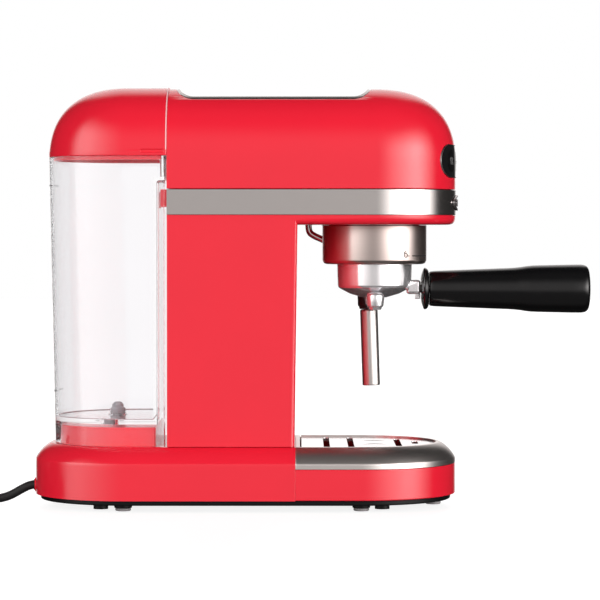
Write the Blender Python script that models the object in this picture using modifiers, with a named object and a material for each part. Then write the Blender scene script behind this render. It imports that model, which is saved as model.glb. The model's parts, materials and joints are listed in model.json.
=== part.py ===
"""Pump espresso machine: round-ended base, column and head, clear tank behind, drip tray in front.

Metres, +Z up.  The front faces -Y and the water tank is at the back, towards +Y.  The origin is on the
surface that the machine stands on, under the middle of its bounding box.  Lengths along the machine are
given as a distance forward of the middle of the base, and y_at() turns them into Y.
"""
import math

import bmesh
import bpy
from mathutils import Matrix, Vector

MM = 0.001
GAP = 0.3 * MM                    # clearance between neighbouring pieces
OVER = 2.0 * MM                   # how far a cutter runs past the face it cuts
WALL = 2.5 * MM                   # moulded shells
FAR = 400 * MM                    # reach of the blocks that trim a shape to length

# Frame and overall sizes
BASE_MIDDLE_Y = 48.75 * MM        # the handle reaches out in front, so the base sits behind the origin
BASE_HALF_WIDTH = 70 * MM
BASE_HALF_LENGTH = 154 * MM
UPPER_HALF_WIDTH = 60 * MM        # column, head, tank and lid are flush with each other
UPPER_FRONT = 154 * MM
UPPER_REAR = -144 * MM
ROUND_STEPS = 12                  # facets in each half-round end

# Base
PLATE_BOTTOM = 5.0 * MM
PLATE_TOP = 8.4 * MM
PLATE_INSET = 3.5 * MM
PLATE_CHAMFER = 1 * MM
BASE_BOTTOM = 8.7 * MM
SHOULDER_SIZE = 11.5 * MM
SHOULDER_BULGE = 1.3 * MM
SHOULDER_STEPS = 4
BASE_TOP = 46.4 * MM
SHOULDER_START = BASE_TOP - SHOULDER_SIZE
TRAY_SEAM = 36.9 * MM
PEDESTAL_HALF_WIDTH = 52 * MM
PEDESTAL_REAR = -136 * MM
PEDESTAL_FRONT = -63.5 * MM
PEDESTAL_TOP = 60 * MM
PEDESTAL_CHAMFER = 1 * MM
COLUMN_PASS_HALF_WIDTH = 40 * MM
COLUMN_PASS_REAR = -40 * MM
COLUMN_PASS_FRONT = 22 * MM
VENT_COUNT = 5
VENT_PITCH = 8 * MM
VENT_SIZE = (34 * MM, 3 * MM)

# Feet and base screws: (sideways, forward)
FOOT_PLACES = [(-50 * MM, -87 * MM), (50 * MM, -87 * MM), (-50 * MM, 84 * MM), (50 * MM, 84 * MM),
               (0, 138 * MM)]
FOOT_PAD_RADIUS = 5.6 * MM
FOOT_PAD_HEIGHT = 2.0 * MM
FOOT_BOSS_RADIUS = 6.4 * MM
SCREW_PLACES = [(-50 * MM, -103 * MM), (50 * MM, -103 * MM), (-50 * MM, 99 * MM), (50 * MM, 99 * MM)]
SCREW_BOSS_RADIUS = 5.3 * MM
SCREW_BOSS_BOTTOM = 1.5 * MM
SCREW_PROFILE = [(0, 8.2), (1.4, 8.2), (1.4, 4.6), (3.0, 4.6), (3.0, 3.2), (2.2, 2.4), (0, 2.4)]
SCREW_RECESS_RADIUS = 3.3 * MM
SCREW_RECESS_TOP = 4.9 * MM
SCREW_HOLE_RADIUS = 1.7 * MM

# Column and head
COLUMN_REAR = -55.1 * MM
COLUMN_FRONT_TOP = 38.3 * MM
COLUMN_FRONT_BOTTOM = 36.1 * MM
COLUMN_BOTTOM = 46.7 * MM
COLUMN_EDGE_RADIUS = 3 * MM
HEAD_BOTTOM = 205.3 * MM
HEAD_EDGE_RADIUS = 4 * MM
BAND_BOTTOM = 212.1 * MM
BAND_TOP = 230.9 * MM
BAND_PROUD = 0.3 * MM
BAND_THICKNESS = 1.1 * MM
BAND_RECESS = 1.3 * MM
CROWN_START = 250 * MM
CROWN_TOP = 304.5 * MM
CROWN_POWER = 2.45                # roundness of the head's section: 2 is an ellipse, more is squarer
CROWN_STEPS = 8
CROWN_FLAT = 0.1                  # half of the flat strip along the ridge, as a share of the half width
GUIDE_LUG_SIDE = 51 * MM
GUIDE_LUG_WIDTH = 4 * MM
GUIDE_LUG_REACH = -59.6 * MM
GUIDE_LUG_BOTTOM = 218 * MM
GUIDE_LUG_TOP = 230.5 * MM

# Cup tray
TRAY_SHEET = 1.8 * MM
TRAY_UNDERSIDE = 296.0 * MM
TRAY_CURL_RADIUS = 15 * MM
TRAY_CURL_STEP = math.radians(10)
TRAY_CURL_STEPS = 6
TRAY_FLAT_REAR = -36.5 * MM
TRAY_FLAT_FRONT = 78 * MM

# Control panel and buttons
PANEL_HEIGHT_Z = 251.6 * MM
PANEL_HALF_HEIGHT = 11.9 * MM
PANEL_HALF_WIDTH = 37 * MM
PANEL_PROUD = 0.4 * MM
PANEL_THICKNESS = 2.1 * MM
PANEL_BACK = 110 * MM             # cutters for the panel start here and run out to the front
BUTTON_RADIUS = 7.5 * MM
BUTTON_DEPTH = 6 * MM
BUTTON_PROUD = 0.5 * MM
BUTTON_ANGLES = {"steam_button": -21.5, "brew_button": 0.0, "power_button": 21.5}
BOARD_FRONT = 137 * MM
BOARD_THICKNESS = 1.6 * MM
BOARD_HALF_WIDTH = 34 * MM
BOARD_HALF_HEIGHT = 11 * MM
SWITCH_SIZE = 6 * MM
SWITCH_REACH = 51.5 * MM          # from the axis of the head's round front

# Badge on the band
BADGE_HEIGHT_Z = 221.5 * MM
BADGE_OVAL = (20 * MM, 5.7 * MM)          # half width and half height
BADGE_OPENING = (18.8 * MM, 4.6 * MM)     # inside its raised ring
BADGE_EMBLEM = (11 * MM, 2.7 * MM)        # raised middle
BADGE_SEAT = 0.6 * MM                     # heights above the nose
BADGE_FACE = 1.0 * MM
BADGE_PROUD = 1.9 * MM
BADGE_STEPS = 36
BADGE_STUD_RADIUS = 1.5 * MM
BADGE_STUD_REACH = 4.5 * MM

# Group head
GROUP_FORWARD = 94.7 * MM
COLLAR_PROFILE = [(38.2, 205.0), (38.2, 179.4), (37.3, 177.4), (35.2, 176.6), (31.0, 176.6), (31.0, 178.2),
                  (36.4, 178.2), (36.4, 205.0)]
GROUP_HEAD_PROFILE = [(0, 214.0), (33.0, 214.0), (33.0, 204.6), (36.0, 204.6), (36.0, 178.6), (29.4, 178.6),
                      (29.4, 182.0), (32.8, 182.0), (32.8, 191.3), (0, 191.3)]
GASKET_PROFILE = [(32.4, 191.0), (32.4, 186.7), (25.0, 186.7), (25.0, 191.0)]
SCREEN_PROFILE = [(0, 190.4), (5.0, 190.4), (6.0, 188.9), (24.4, 188.7), (24.4, 187.6), (5.0, 187.4),
                  (0, 187.4)]
GROUP_HOLE_RADIUS = 33.4 * MM
GROUP_INLET_RADIUS = 1.6 * MM
GROUP_INLET_SIDE = 14 * MM
GROUP_INLET_SPAN = (190 * MM, 216 * MM)
EAR_HALF_ANGLE = 22
EAR_REACH = (26.6 * MM, 32.3 * MM)          # inner and outer radius
EAR_SPAN = (182.3 * MM, 184.9 * MM)         # bottom and top
EAR_SLOT_REACH = (27 * MM, 32.9 * MM)
EAR_SLOT_SPAN = (177 * MM, 182.6 * MM)
UNLOCK_ANGLE = 50                 # turn that lines the ears up with the slots in the group head's ledge

# Portafilter
BOWL_PROFILE = [(27.6, 185.2), (27.6, 176.0), (26.9, 161.0), (26.2, 159.7), (18.0, 154.8), (9.0, 152.2),
                (2.9, 151.5), (2.9, 154.6), (9.0, 155.2), (18.5, 158.6), (24.6, 163.6), (25.8, 167.0),
                (25.8, 174.0), (26.7, 174.0), (26.7, 175.7), (25.8, 175.7), (25.8, 185.2)]
BASKET_PROFILE = [(0, 167.8), (21.6, 167.8), (23.7, 169.2), (24.3, 186.4), (27.3, 186.4), (27.3, 185.5),
                  (25.1, 185.5), (24.5, 168.6), (22.0, 167.0), (0, 167.0)]
RETAINER_RADIUS = 25.75 * MM
RETAINER_WIRE = 0.45 * MM
RETAINER_Z = 174.85 * MM
RETAINER_SIDES = 6
NECK_HALF_WIDTH = 8 * MM
NECK_REAR = 118 * MM
NECK_FRONT = 128.4 * MM
NECK_BOTTOM = 154.6 * MM
NECK_TOP = 165 * MM
NECK_RIB = (2.5 * MM, 124.5 * MM, 151 * MM)     # half width, rear end, bottom
HANDLE_Z = 158.5 * MM
FLANGE_PROFILE = [(3.2, 134.5), (13.6, 134.5), (15.0, 133.0), (15.4, 131.7), (14.2, 130.6), (11.5, 129.6),
                  (8.5, 128.8), (3.2, 128.8)]
GRIP_PROFILE = [(0, 252.5), (8.0, 252.5), (14.6, 252.0), (16.9, 249.8), (17.35, 246.0), (16.8, 216.0),
                (16.2, 208.0), (15.1, 195.0), (14.5, 187.0), (13.6, 160.0), (12.6, 134.8), (3.2, 134.8),
                (3.2, 216.0), (0, 216.0)]
BOLT_RADIUS = 2.9 * MM
BOLT_REAR = 123 * MM
BOLT_FRONT = 214 * MM
SPOUT_SIDE = 25 * MM
SPOUT_CAP_PROFILE = [(0, 156.5), (3.0, 156.0), (5.0, 154.6), (6.1, 152.4), (6.2, 150.8), (5.5, 146.0),
                     (4.9, 145.8), (4.3, 143.7), (0, 143.7)]
SPOUT_BAR_Z = 147.5 * MM
SPOUT_BAR_RADIUS = 3.4 * MM
SPOUT_STUB_RADIUS = 2.55 * MM
SPOUT_STUB_TOP = 154.4 * MM
SPOUT_BORE = 1.8 * MM
SPOUT_MOUTH_RADIUS = 3.0 * MM
SPOUT_MOUTH_SPAN = (140 * MM, 150 * MM)

# Steam wand
WAND_SIDE = 48 * MM
WAND_PIVOT_FORWARD = 46.5 * MM
WAND_ROUTE = [(46.5, 216.0), (46.5, 203.6), (47.6, 199.6), (51.2, 197.0), (56.6, 194.6), (74.5, 185.4),
              (82.5, 180.6), (88.0, 174.6), (90.6, 167.6), (91.35, 158.0), (92.7, 117.4)]  # forward, height
WAND_TILT = math.radians(1.9)
WAND_PIPE_RADIUS = 2.5 * MM
WAND_AXIS_FOOT = (93.7 * MM, 84.8 * MM)         # forward and height of the sleeve's lower end
WAND_GRIP_PROFILE = [(3.0, 80.6), (6.6, 80.6), (7.9, 79.0), (8.15, 76.0), (8.15, 60.2), (7.2, 59.4),
                     (7.0, 57.6), (3.0, 57.6)]
SLEEVE_PROFILE = [(3.1, 57.3), (6.0, 57.3), (6.65, 56.4), (6.65, 0.4), (6.3, 0), (5.7, 0), (5.7, 53.8),
                  (3.1, 53.8)]
TIP_PROFILE = [(0, 32.0), (2.7, 32.0), (2.7, 25.0), (1.9, 22.5), (1.0, 22.5), (1.0, 30.5), (0, 30.5)]
SWIVEL_NUT_PROFILE = [(6.0, 214.0), (6.0, 208.2), (2.9, 208.2), (2.9, 214.0)]
WAND_HOLE_RADIUS = 3.4 * MM

# Steam valve and knob, on an axis along X
KNOB_FORWARD = 60 * MM
KNOB_Z = 221.5 * MM
KNOB_PROFILE = [(0, 70.0), (13.5, 70.0), (15.6, 69.2), (16.4, 67.6), (16.8, 61.0), (3.3, 61.0), (3.3, 68.0),
                (0, 68.0)]
KNOB_FLUTES = 12
KNOB_FLUTE_RADIUS = 1.8 * MM
KNOB_FLUTE_CIRCLE = 17.6 * MM
KNOB_FLUTE_SPAN = (62.5 * MM, 72 * MM)
STEM_PROFILE = [(0, 67.6), (2.9, 67.6), (2.9, 42.0), (0, 42.0)]
STEM_HOLE_RADIUS = 3.4 * MM
VALVE_BODY = ((24, 53.5, 212), (50, 71, 232.5))   # sideways, forward and height of two opposite corners
VALVE_BORE_SPAN = (40 * MM, 55 * MM)

# Heater, pump and pipes
THERMOBLOCK = ((-34, 58, 216.5), (18, 130, 246.0))
THERMOBLOCK_RIBS = 4
RIB_THICKNESS = 4 * MM
RIB_HEIGHT = 5 * MM
HEATER_TERMINAL_RADIUS = 4 * MM
HEATER_TERMINAL_REAR = 44 * MM
HEATER_TERMINAL_FRONT = 70 * MM
HEATER_TERMINAL_SIDES = (-14 * MM, 6 * MM)
HEATER_TERMINAL_Z = 238 * MM
PUMP_Z = 120 * MM
PUMP_PROFILE = [(0, 23.0), (3.0, 23.0), (3.0, 17.0), (8.0, 17.0), (8.0, 12.0), (17.0, 12.0), (17.0, -20.0),
                (10.0, -20.0), (10.0, -30.0), (3.2, -30.0), (3.2, -38.0), (0, -38.0)]
PUMP_YOKE = ((-20, -21, 100), (20, 13, 140))
PUMP_YOKE_BORE = 17.4 * MM
PUMP_YOKE_BORE_SPAN = (-40 * MM, 30 * MM)
INLET_HOSE_ROUTE = [(0, -94, 41.2), (0, -94, 33.0), (0, -90, 25.0), (0, -80, 21.0), (0, -60, 20.0),
                    (0, -38, 21.0), (2, -24, 27.0), (10, -14, 38.0), (24, -12, 54.0), (28, -16, 74.0),
                    (22, -28, 92.0), (10, -40, 103.0), (2, -46.4, 110.0), (0, -46.4, 120.0)]
INLET_HOSE_RADIUS = 3 * MM
PRESSURE_HOSE_ROUTE = [(0, 23.4, 120), (0, 25.6, 120.2), (-6, 27.8, 127), (-14, 27.5, 134), (-24, 27, 148),
                       (-26, 27, 180), (-26, 28, 203), (-26, 33, 219), (-26, 43, 228), (-26, 57.4, 230)]
PRESSURE_HOSE_RADIUS = 2 * MM
STEAM_TUBE_ROUTE = [(48, 46.5, 217.4), (48, 46.5, 225), (47, 42, 236), (42, 36, 240), (36, 38, 240),
                    (33, 44, 238), (33, 50, 238), (33, 56.5, 238), (33, 60, 236), (33, 60.6, 233)]
STEAM_TUBE_RADIUS = 1.5 * MM

# Water tank, its valve and its lid
TANK_FRONT = -56.3 * MM
TANK_TOP = 254.4 * MM
TANK_BOTTOM = 46.8 * MM
TANK_REAR_DRAFT = 4.3 * MM
TANK_HALF_WIDTH = 59.7 * MM
TANK_FLOOR_BOTTOM = 62.5 * MM
TANK_FLOOR_TOP = 66 * MM
TANK_RECESS_FRONT = -62.5 * MM
TANK_RECESS_TOP = 237 * MM
TANK_FLANGE = 3 * MM
COUPLING_FORWARD = -94 * MM
COUPLING_RADIUS = 7.5 * MM
COUPLING_BOTTOM = 57 * MM
VALVE_HOLE_RADIUS = 4.6 * MM
TANK_VALVE_PROFILE = [(0, 75.5), (3.0, 75.5), (4.2, 74.0), (4.2, 71.6), (5.6, 70.6), (5.6, 66.4),
                      (4.2, 66.4), (4.2, 60.4), (0, 60.4)]
SOCKET_PROFILE = [(0, 60.0), (1.5, 60.0), (1.5, 52.5), (7.9, 52.5), (7.9, 59.6), (8.6, 59.6), (8.6, 50.0),
                  (3.0, 50.0), (3.0, 41.6), (0, 41.6)]
SOCKET_HOLE_RADIUS = 9.1 * MM
LID_FRONT = -55.8 * MM
LID_BOTTOM = 254.7 * MM
LID_TOP = 305.3 * MM
LID_SKIRT_BOTTOM = 251.8 * MM
LID_SKIRT_INSET = 3.4 * MM
LID_SKIRT_WALL = 2 * MM
LID_SKIRT_FRONT = -59.7 * MM
LID_SKIRT_TOP = 257.2 * MM

# Drip tray
DRIP_BOTTOM = 9.0 * MM
DRIP_TOP = 31.1 * MM
DRIP_REAR = 37.2 * MM
RIM_BOTTOM = 31.4 * MM
RIM_REAR_BAR = 3.3 * MM
RIM_SHEET = 1.5 * MM
RIM_LEDGE_BOTTOM = 41.8 * MM
RIM_LEDGE_TOP = 43.9 * MM
RIM_LEDGE_OUTER = 9.0 * MM
RIM_LEDGE_INNER = 17 * MM
RIM_OPENING_INSET = 14 * MM
GRILLE_INSET = 14.4 * MM
GRILLE_REAR = 41 * MM
GRILLE_BOTTOM = 44.2 * MM
GRILLE_TOP = 45.2 * MM
SLOT_WIDTH = 4.6 * MM
SLOTS = [(59.4, 47), (77.1, 47), (111.8, 33.5), (124.4, 12)]    # forward, half length
CURVED_SLOT_SIDES = [-16, 16]
CURVED_SLOT_RADIUS = 9.5 * MM
CURVED_SLOT_BOW = 8 * MM
CURVED_SLOT_WIDTH = 4.5 * MM
CURVED_SLOT_STEPS = 8
END_SLOT_SIDE = 44 * MM
END_SLOT_SIZE = (4 * MM, 3 * MM)

# Mains cord: (sideways, forward, height) of the route's own points
CORD_RADIUS = 3.15 * MM
CORD_ROUTE = [(0, -157.0, 14.1), (0, -160.5, 13.1), (0.1, -166.0, 10.3), (0.4, -172.5, 6.7),
              (1.0, -180.0, 4.2), (2.4, -190.0, 3.2), (5.4, -202.0, 3.2), (6.1, -204.8, 3.2)]
COIL_CENTRE = (-27.3 * MM, -237.2 * MM)
COIL_RADIUS = 33 * MM
COIL_DIAMETERS_WIDE = 3
COIL_DIAMETERS_HIGH = 2
TAIL_ROUTE = [(2.6, -201.4, 10.0), (10.0, -202.6, 10.0), (19.0, -204.6, 10.4), (30.0, -209.0, 12.0),
              (38.0, -217.0, 14.6), (42.4, -228.0, 16.9), (44.0, -240.0, 18.2), (44.2, -246.0, 18.5)]
CORD_SAMPLES_PER_LEG = 3
BUSHING_PROFILE = [(3.45, 155.9), (3.9, 155.9), (4.0, 148.0), (5.6, 147.6), (5.6, 146.0), (4.6, 144.0),
                   (3.9, 134.0), (3.45, 134.0)]
BEZEL_RADIUS = 5.3 * MM
BEZEL_REAR = -155 * MM
BEZEL_FRONT = -149 * MM
CORD_EXIT_Z = 14.3 * MM
BEZEL_HOLE = 4.3 * MM
PLUG_PLACE = (44.2 * MM, -246.4 * MM, 18.6 * MM)
PLUG_PROFILE = [(0, 46.0), (16.6, 46.0), (18.2, 44.0), (18.2, 30.0), (15.5, 26.0), (8.0, 21.0), (5.8, 14.0),
                (5.0, 0), (0, 0)]
PIN_RADIUS = 2.4 * MM
PIN_SPACING = 19 * MM
PIN_LENGTH = 19 * MM
PIN_ROOT = 46.3 * MM

# name: colour, roughness, metallic, transmission
FINISHES = {
    "red_plastic": ((0.80, 0.035, 0.045), 0.18, 0.0, 0.0),
    "black_plastic": ((0.012, 0.012, 0.013), 0.28, 0.0, 0.0),
    "black_rubber": ((0.02, 0.02, 0.02), 0.75, 0.0, 0.0),
    "grey_rubber": ((0.34, 0.32, 0.33), 0.7, 0.0, 0.0),
    "grey_plastic": ((0.22, 0.22, 0.25), 0.45, 0.0, 0.0),
    "clear_plastic": ((0.93, 0.91, 0.93), 0.06, 0.0, 0.95),
    "brushed_steel": ((0.62, 0.59, 0.57), 0.32, 1.0, 0.0),
    "polished_steel": ((0.78, 0.78, 0.79), 0.10, 1.0, 0.0),
    "aluminium": ((0.70, 0.71, 0.72), 0.42, 1.0, 0.0),
    "brass": ((0.68, 0.50, 0.22), 0.35, 1.0, 0.0),
    "copper": ((0.72, 0.38, 0.24), 0.35, 1.0, 0.0),
    "silicone": ((0.82, 0.84, 0.84), 0.5, 0.0, 0.3),
    "circuit_board": ((0.02, 0.20, 0.07), 0.5, 0.0, 0.0),
}


def y_at(forward):
    return BASE_MIDDLE_Y - forward


def clear_scene():
    for thing in list(bpy.data.objects):
        bpy.data.objects.remove(thing, do_unlink=True)


def collection(name):
    group = bpy.data.collections.get(name)
    if group is None:
        group = bpy.data.collections.new(name)
        bpy.context.scene.collection.children.link(group)
    return group


def finish_material(node, finish):
    colour, roughness, metallic, transmission = FINISHES[finish]
    material = bpy.data.materials.new(node + "_" + finish)
    material.use_nodes = True
    shader = material.node_tree.nodes["Principled BSDF"]
    shader.inputs["Base Color"].default_value = (*colour, 1.0)
    shader.inputs["Roughness"].default_value = roughness
    shader.inputs["Metallic"].default_value = metallic
    shader.inputs["Transmission Weight"].default_value = transmission
    material.diffuse_color = (*colour, 1.0)
    return material


def add_object(name, data, finish):
    """Put new data in the scene as a part with its own material, or as a cutter when finish is None."""
    thing = bpy.data.objects.new(name, data)
    if finish is None:
        collection("cutters").objects.link(thing)
        thing.hide_render = True
        thing.display_type = "WIRE"
    else:
        collection("espresso_machine").objects.link(thing)
        data.materials.append(finish_material(name, finish))
    return thing


def from_bmesh(name, shape, finish, smooth_angle=30):
    bmesh.ops.recalc_face_normals(shape, faces=shape.faces)
    mesh = bpy.data.meshes.new(name)
    shape.to_mesh(mesh)
    shape.free()
    mesh.shade_smooth()
    mesh.set_sharp_from_angle(angle=math.radians(smooth_angle))
    return add_object(name, mesh, finish)


def boolean(target, tool, operation):
    step = target.modifiers.new(tool.name, "BOOLEAN")
    step.operation = operation
    step.solver = "EXACT"
    step.object = tool


def cut(target, *tools):
    for tool in tools:
        boolean(target, tool, "DIFFERENCE")
    return target


def join(target, *tools):
    for tool in tools:
        boolean(target, tool, "UNION")
    return target


def keep_inside(target, tool):
    boolean(target, tool, "INTERSECT")
    return target


def block(name, low, high, finish=None):
    """A box between two corners."""
    shape = bmesh.new()
    bmesh.ops.create_cube(shape, size=1.0)
    size = [h - l for l, h in zip(low, high)]
    middle = [(h + l) / 2 for l, h in zip(low, high)]
    bmesh.ops.scale(shape, vec=size, verts=shape.verts)
    bmesh.ops.translate(shape, vec=middle, verts=shape.verts)
    return from_bmesh(name, shape, finish)


def block_mm(name, corners, finish=None):
    """A box from two opposite corners in millimetres: sideways, forward, height."""
    (x0, f0, z0), (x1, f1, z1) = corners
    return block(name, (x0 * MM, y_at(f1 * MM), z0 * MM), (x1 * MM, y_at(f0 * MM), z1 * MM), finish)


def ahead_of(name, forward):
    """A cutter that removes everything in front of a station."""
    return block(name, (-FAR, y_at(forward) - FAR, -FAR), (FAR, y_at(forward), FAR))


def behind(name, forward, low_z=-FAR, high_z=FAR):
    """A cutter that removes everything behind a station, between two heights."""
    return block(name, (-FAR, y_at(forward), low_z), (FAR, y_at(forward) + FAR, high_z))


def ahead_between(name, forward, low_z, high_z):
    """A cutter that removes everything in front of a station, between two heights."""
    return block(name, (-FAR, y_at(forward) - FAR, low_z), (FAR, y_at(forward), high_z))


def round_bar(name, radius, start, end, finish=None, segments=12):
    """A cylinder between two points."""
    start, end = Vector(start), Vector(end)
    along = end - start
    shape = bmesh.new()
    bmesh.ops.create_cone(shape, cap_ends=True, segments=segments, radius1=radius, radius2=radius,
                          depth=along.length)
    turn = along.to_track_quat("Z", "Y").to_matrix().to_4x4()
    bmesh.ops.transform(shape, matrix=Matrix.Translation((start + end) / 2) @ turn, verts=shape.verts)
    return from_bmesh(name, shape, finish)


def upright(name, radius, side, forward, low_z, high_z, finish=None, segments=12):
    y = y_at(forward)
    return round_bar(name, radius, (side, y, low_z), (side, y, high_z), finish, segments)


def crosswise(name, radius, span, forward, z, finish=None, segments=12):
    """A cylinder along X between two sideways places."""
    y = y_at(forward)
    return round_bar(name, radius, (span[0], y, z), (span[1], y, z), finish, segments)


def lengthwise(name, radius, side, span, z, finish=None, segments=12):
    """A cylinder along Y between two forward stations."""
    return round_bar(name, radius, (side, y_at(span[0]), z), (side, y_at(span[1]), z), finish, segments)


def stadium_ring(half_width, front, rear):
    """Plan outline with half-round ends, anticlockwise from above, as (x, y)."""
    points = []
    for middle, first in ((y_at(front) + half_width, math.pi), (y_at(rear) - half_width, 0.0)):
        for step in range(ROUND_STEPS + 1):
            angle = first + math.pi * step / ROUND_STEPS
            points.append((half_width * math.cos(angle), middle + half_width * math.sin(angle)))
    return points


def loft(name, rings, finish=None):
    """Closed solid through outlines of equal length, given as (points, height) from the bottom up."""
    shape = bmesh.new()
    rows = [[shape.verts.new((x, y, z)) for x, y in points] for points, z in rings]
    for low, high in zip(rows, rows[1:]):
        for i, corner in enumerate(low):
            after = (i + 1) % len(low)
            shape.faces.new((corner, low[after], high[after], high[i]))
    shape.faces.new(list(reversed(rows[0])))
    shape.faces.new(rows[-1])
    return from_bmesh(name, shape, finish)


def round_ended(name, levels, half_width, front, rear, finish=None):
    """Loft of a round-ended outline that shrinks by an inset at each height: levels are (inset, z)."""
    rings = [(stadium_ring(half_width - inset, front - inset, rear + inset), z) for inset, z in levels]
    return loft(name, rings, finish)


def base_shape(name, levels, finish=None):
    return round_ended(name, levels, BASE_HALF_WIDTH, BASE_HALF_LENGTH, -BASE_HALF_LENGTH, finish)


def upper_shape(name, levels, finish=None):
    return round_ended(name, levels, UPPER_HALF_WIDTH, UPPER_FRONT, UPPER_REAR, finish)


def extruded(name, outline, half_width, finish=None):
    """Side outline of (forward, z) points, extruded across the machine."""
    shape = bmesh.new()
    side = [shape.verts.new((-half_width, y_at(forward), z)) for forward, z in outline]
    face = shape.faces.new(side)
    grown = bmesh.ops.extrude_face_region(shape, geom=[face])
    moved = [item for item in grown["geom"] if isinstance(item, bmesh.types.BMVert)]
    bmesh.ops.translate(shape, vec=(2 * half_width, 0, 0), verts=moved)
    return from_bmesh(name, shape, finish)


def turned(name, profile, place, finish=None, axis="Z", steps=20, closed=False):
    """Body of revolution.  profile is (radius, along) in millimetres, its outer side first, top to bottom.

    axis Z stands it up, -Y points it forward, Y points it back and X points it to the right.
    """
    mesh = bpy.data.meshes.new(name)
    count = len(profile)
    edges = [(i, i + 1) for i in range(count - 1)]
    if closed:
        edges.append((count - 1, 0))
    mesh.from_pydata([(r * MM, 0, z * MM) for r, z in profile], edges, [])
    thing = add_object(name, mesh, finish)
    screw = thing.modifiers.new("turn", "SCREW")
    screw.axis = "Z"
    screw.angle = math.tau
    screw.steps = steps
    screw.render_steps = steps
    screw.use_merge_vertices = True
    screw.merge_threshold = 0.00001
    screw.use_smooth_shade = True
    thing.location = place
    thing.rotation_euler = {"Z": (0, 0, 0), "-Y": (math.pi / 2, 0, 0), "Y": (-math.pi / 2, 0, 0),
                            "X": (0, math.pi / 2, 0)}[axis]
    return thing


def tube(name, points, radius, finish, bevel_resolution=2):
    """Round tube along points given in metres."""
    curve = bpy.data.curves.new(name, "CURVE")
    curve.dimensions = "3D"
    curve.bevel_depth = radius
    curve.bevel_resolution = bevel_resolution
    curve.use_fill_caps = True
    spline = curve.splines.new("POLY")
    spline.points.add(len(points) - 1)
    for slot, point in zip(spline.points, points):
        slot.co = (*point, 1.0)
    return add_object(name, curve, finish)


def smooth_route(route, samples):
    """Catmull-Rom curve through (sideways, forward, height) points in millimetres, as metres."""
    knots = [Vector((x * MM, y_at(forward * MM), z * MM)) for x, forward, z in route]
    ends = [2 * knots[0] - knots[1]] + knots + [2 * knots[-1] - knots[-2]]
    path = []
    for before, start, end, after in zip(ends, ends[1:], ends[2:], ends[3:]):
        for step in range(samples):
            t = step / samples
            path.append(0.5 * (2 * start + (end - before) * t
                               + (2 * before - 5 * start + 4 * end - after) * t ** 2
                               + (3 * start - before - 3 * end + after) * t ** 3))
    return path + [knots[-1]]


def shoulder_levels(offset=0.0, start=SHOULDER_START, size=SHOULDER_SIZE):
    """Slightly bulging 45 degree shoulder, as (inset, z), moved inwards by an offset."""
    levels = []
    for step in range(SHOULDER_STEPS + 1):
        share = step / SHOULDER_STEPS
        bulge = SHOULDER_BULGE * 4 * share * (1 - share) / math.sqrt(2)
        levels.append((offset + size * share - bulge, start + size * share + bulge - offset))
    return levels


def crown_levels(offset=0.0, top=CROWN_TOP):
    """Arched top as (inset, z), moved inwards by an offset."""
    end = math.acos(CROWN_FLAT ** (CROWN_POWER / 2))
    levels = []
    for step in range(CROWN_STEPS + 1):
        angle = end * step / CROWN_STEPS
        reach = math.cos(angle) ** (2 / CROWN_POWER)
        rise = math.sin(angle) ** (2 / CROWN_POWER)
        inset = offset + (UPPER_HALF_WIDTH - offset) * (1 - reach)
        levels.append((inset, CROWN_START + (top - CROWN_START - offset) * rise))
    return levels


def tray_curve(drop, curl_steps):
    """Side line of the cup tray with curled ends, rear to front, lowered by a drop."""
    radius = TRAY_CURL_RADIUS + drop
    middle_z = TRAY_UNDERSIDE + TRAY_CURL_RADIUS
    turns = [(radius * math.sin(TRAY_CURL_STEP * step), middle_z - radius * math.cos(TRAY_CURL_STEP * step))
             for step in range(curl_steps + 1)]
    rear = [(TRAY_FLAT_REAR - reach, z) for reach, z in reversed(turns)]
    return rear + [(TRAY_FLAT_FRONT + reach, z) for reach, z in turns]


def saddle(name, drop):
    """Cutter for the hollow in the head's top that the cup tray lies in."""
    outline = tray_curve(drop, round(math.pi / 2 / TRAY_CURL_STEP))
    above = CROWN_TOP + TRAY_CURL_RADIUS
    outline += [(outline[-1][0], above), (outline[0][0], above)]
    return extruded(name, outline, UPPER_HALF_WIDTH + OVER)


def pill_prism(name, grow):
    """Cutter with the control panel's outline, run through the head's front wall."""
    half_height = PANEL_HALF_HEIGHT + grow
    middle = PANEL_HALF_WIDTH - PANEL_HALF_HEIGHT
    outline = []
    for side, first in ((1, -math.pi / 2), (-1, math.pi / 2)):
        for step in range(ROUND_STEPS // 2 + 1):
            angle = first + math.pi * step / (ROUND_STEPS // 2)
            outline.append((side * middle + half_height * math.cos(angle),
                            PANEL_HEIGHT_Z + half_height * math.sin(angle)))
    return front_prism(name, outline)


def oval_prism(name, half_width, half_height):
    """Cutter with an oval outline at the badge's height, run through the head's front wall."""
    turns = [math.tau * step / BADGE_STEPS for step in range(BADGE_STEPS)]
    return front_prism(name, [(half_width * math.sin(turn), BADGE_HEIGHT_Z - half_height * math.cos(turn))
                              for turn in turns])


def front_prism(name, outline):
    """Cutter with an outline of (sideways, z) points, run through the head's front wall."""
    shape = bmesh.new()
    verts = [shape.verts.new((x, y_at(PANEL_BACK), z)) for x, z in outline]
    grown = bmesh.ops.extrude_face_region(shape, geom=[shape.faces.new(verts)])
    moved = [item for item in grown["geom"] if isinstance(item, bmesh.types.BMVert)]
    bmesh.ops.translate(shape, vec=(0, y_at(UPPER_FRONT) - y_at(PANEL_BACK) - 10 * OVER, 0), verts=moved)
    return from_bmesh(name, shape, None)


# ---------------------------------------------------------------- base

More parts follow.
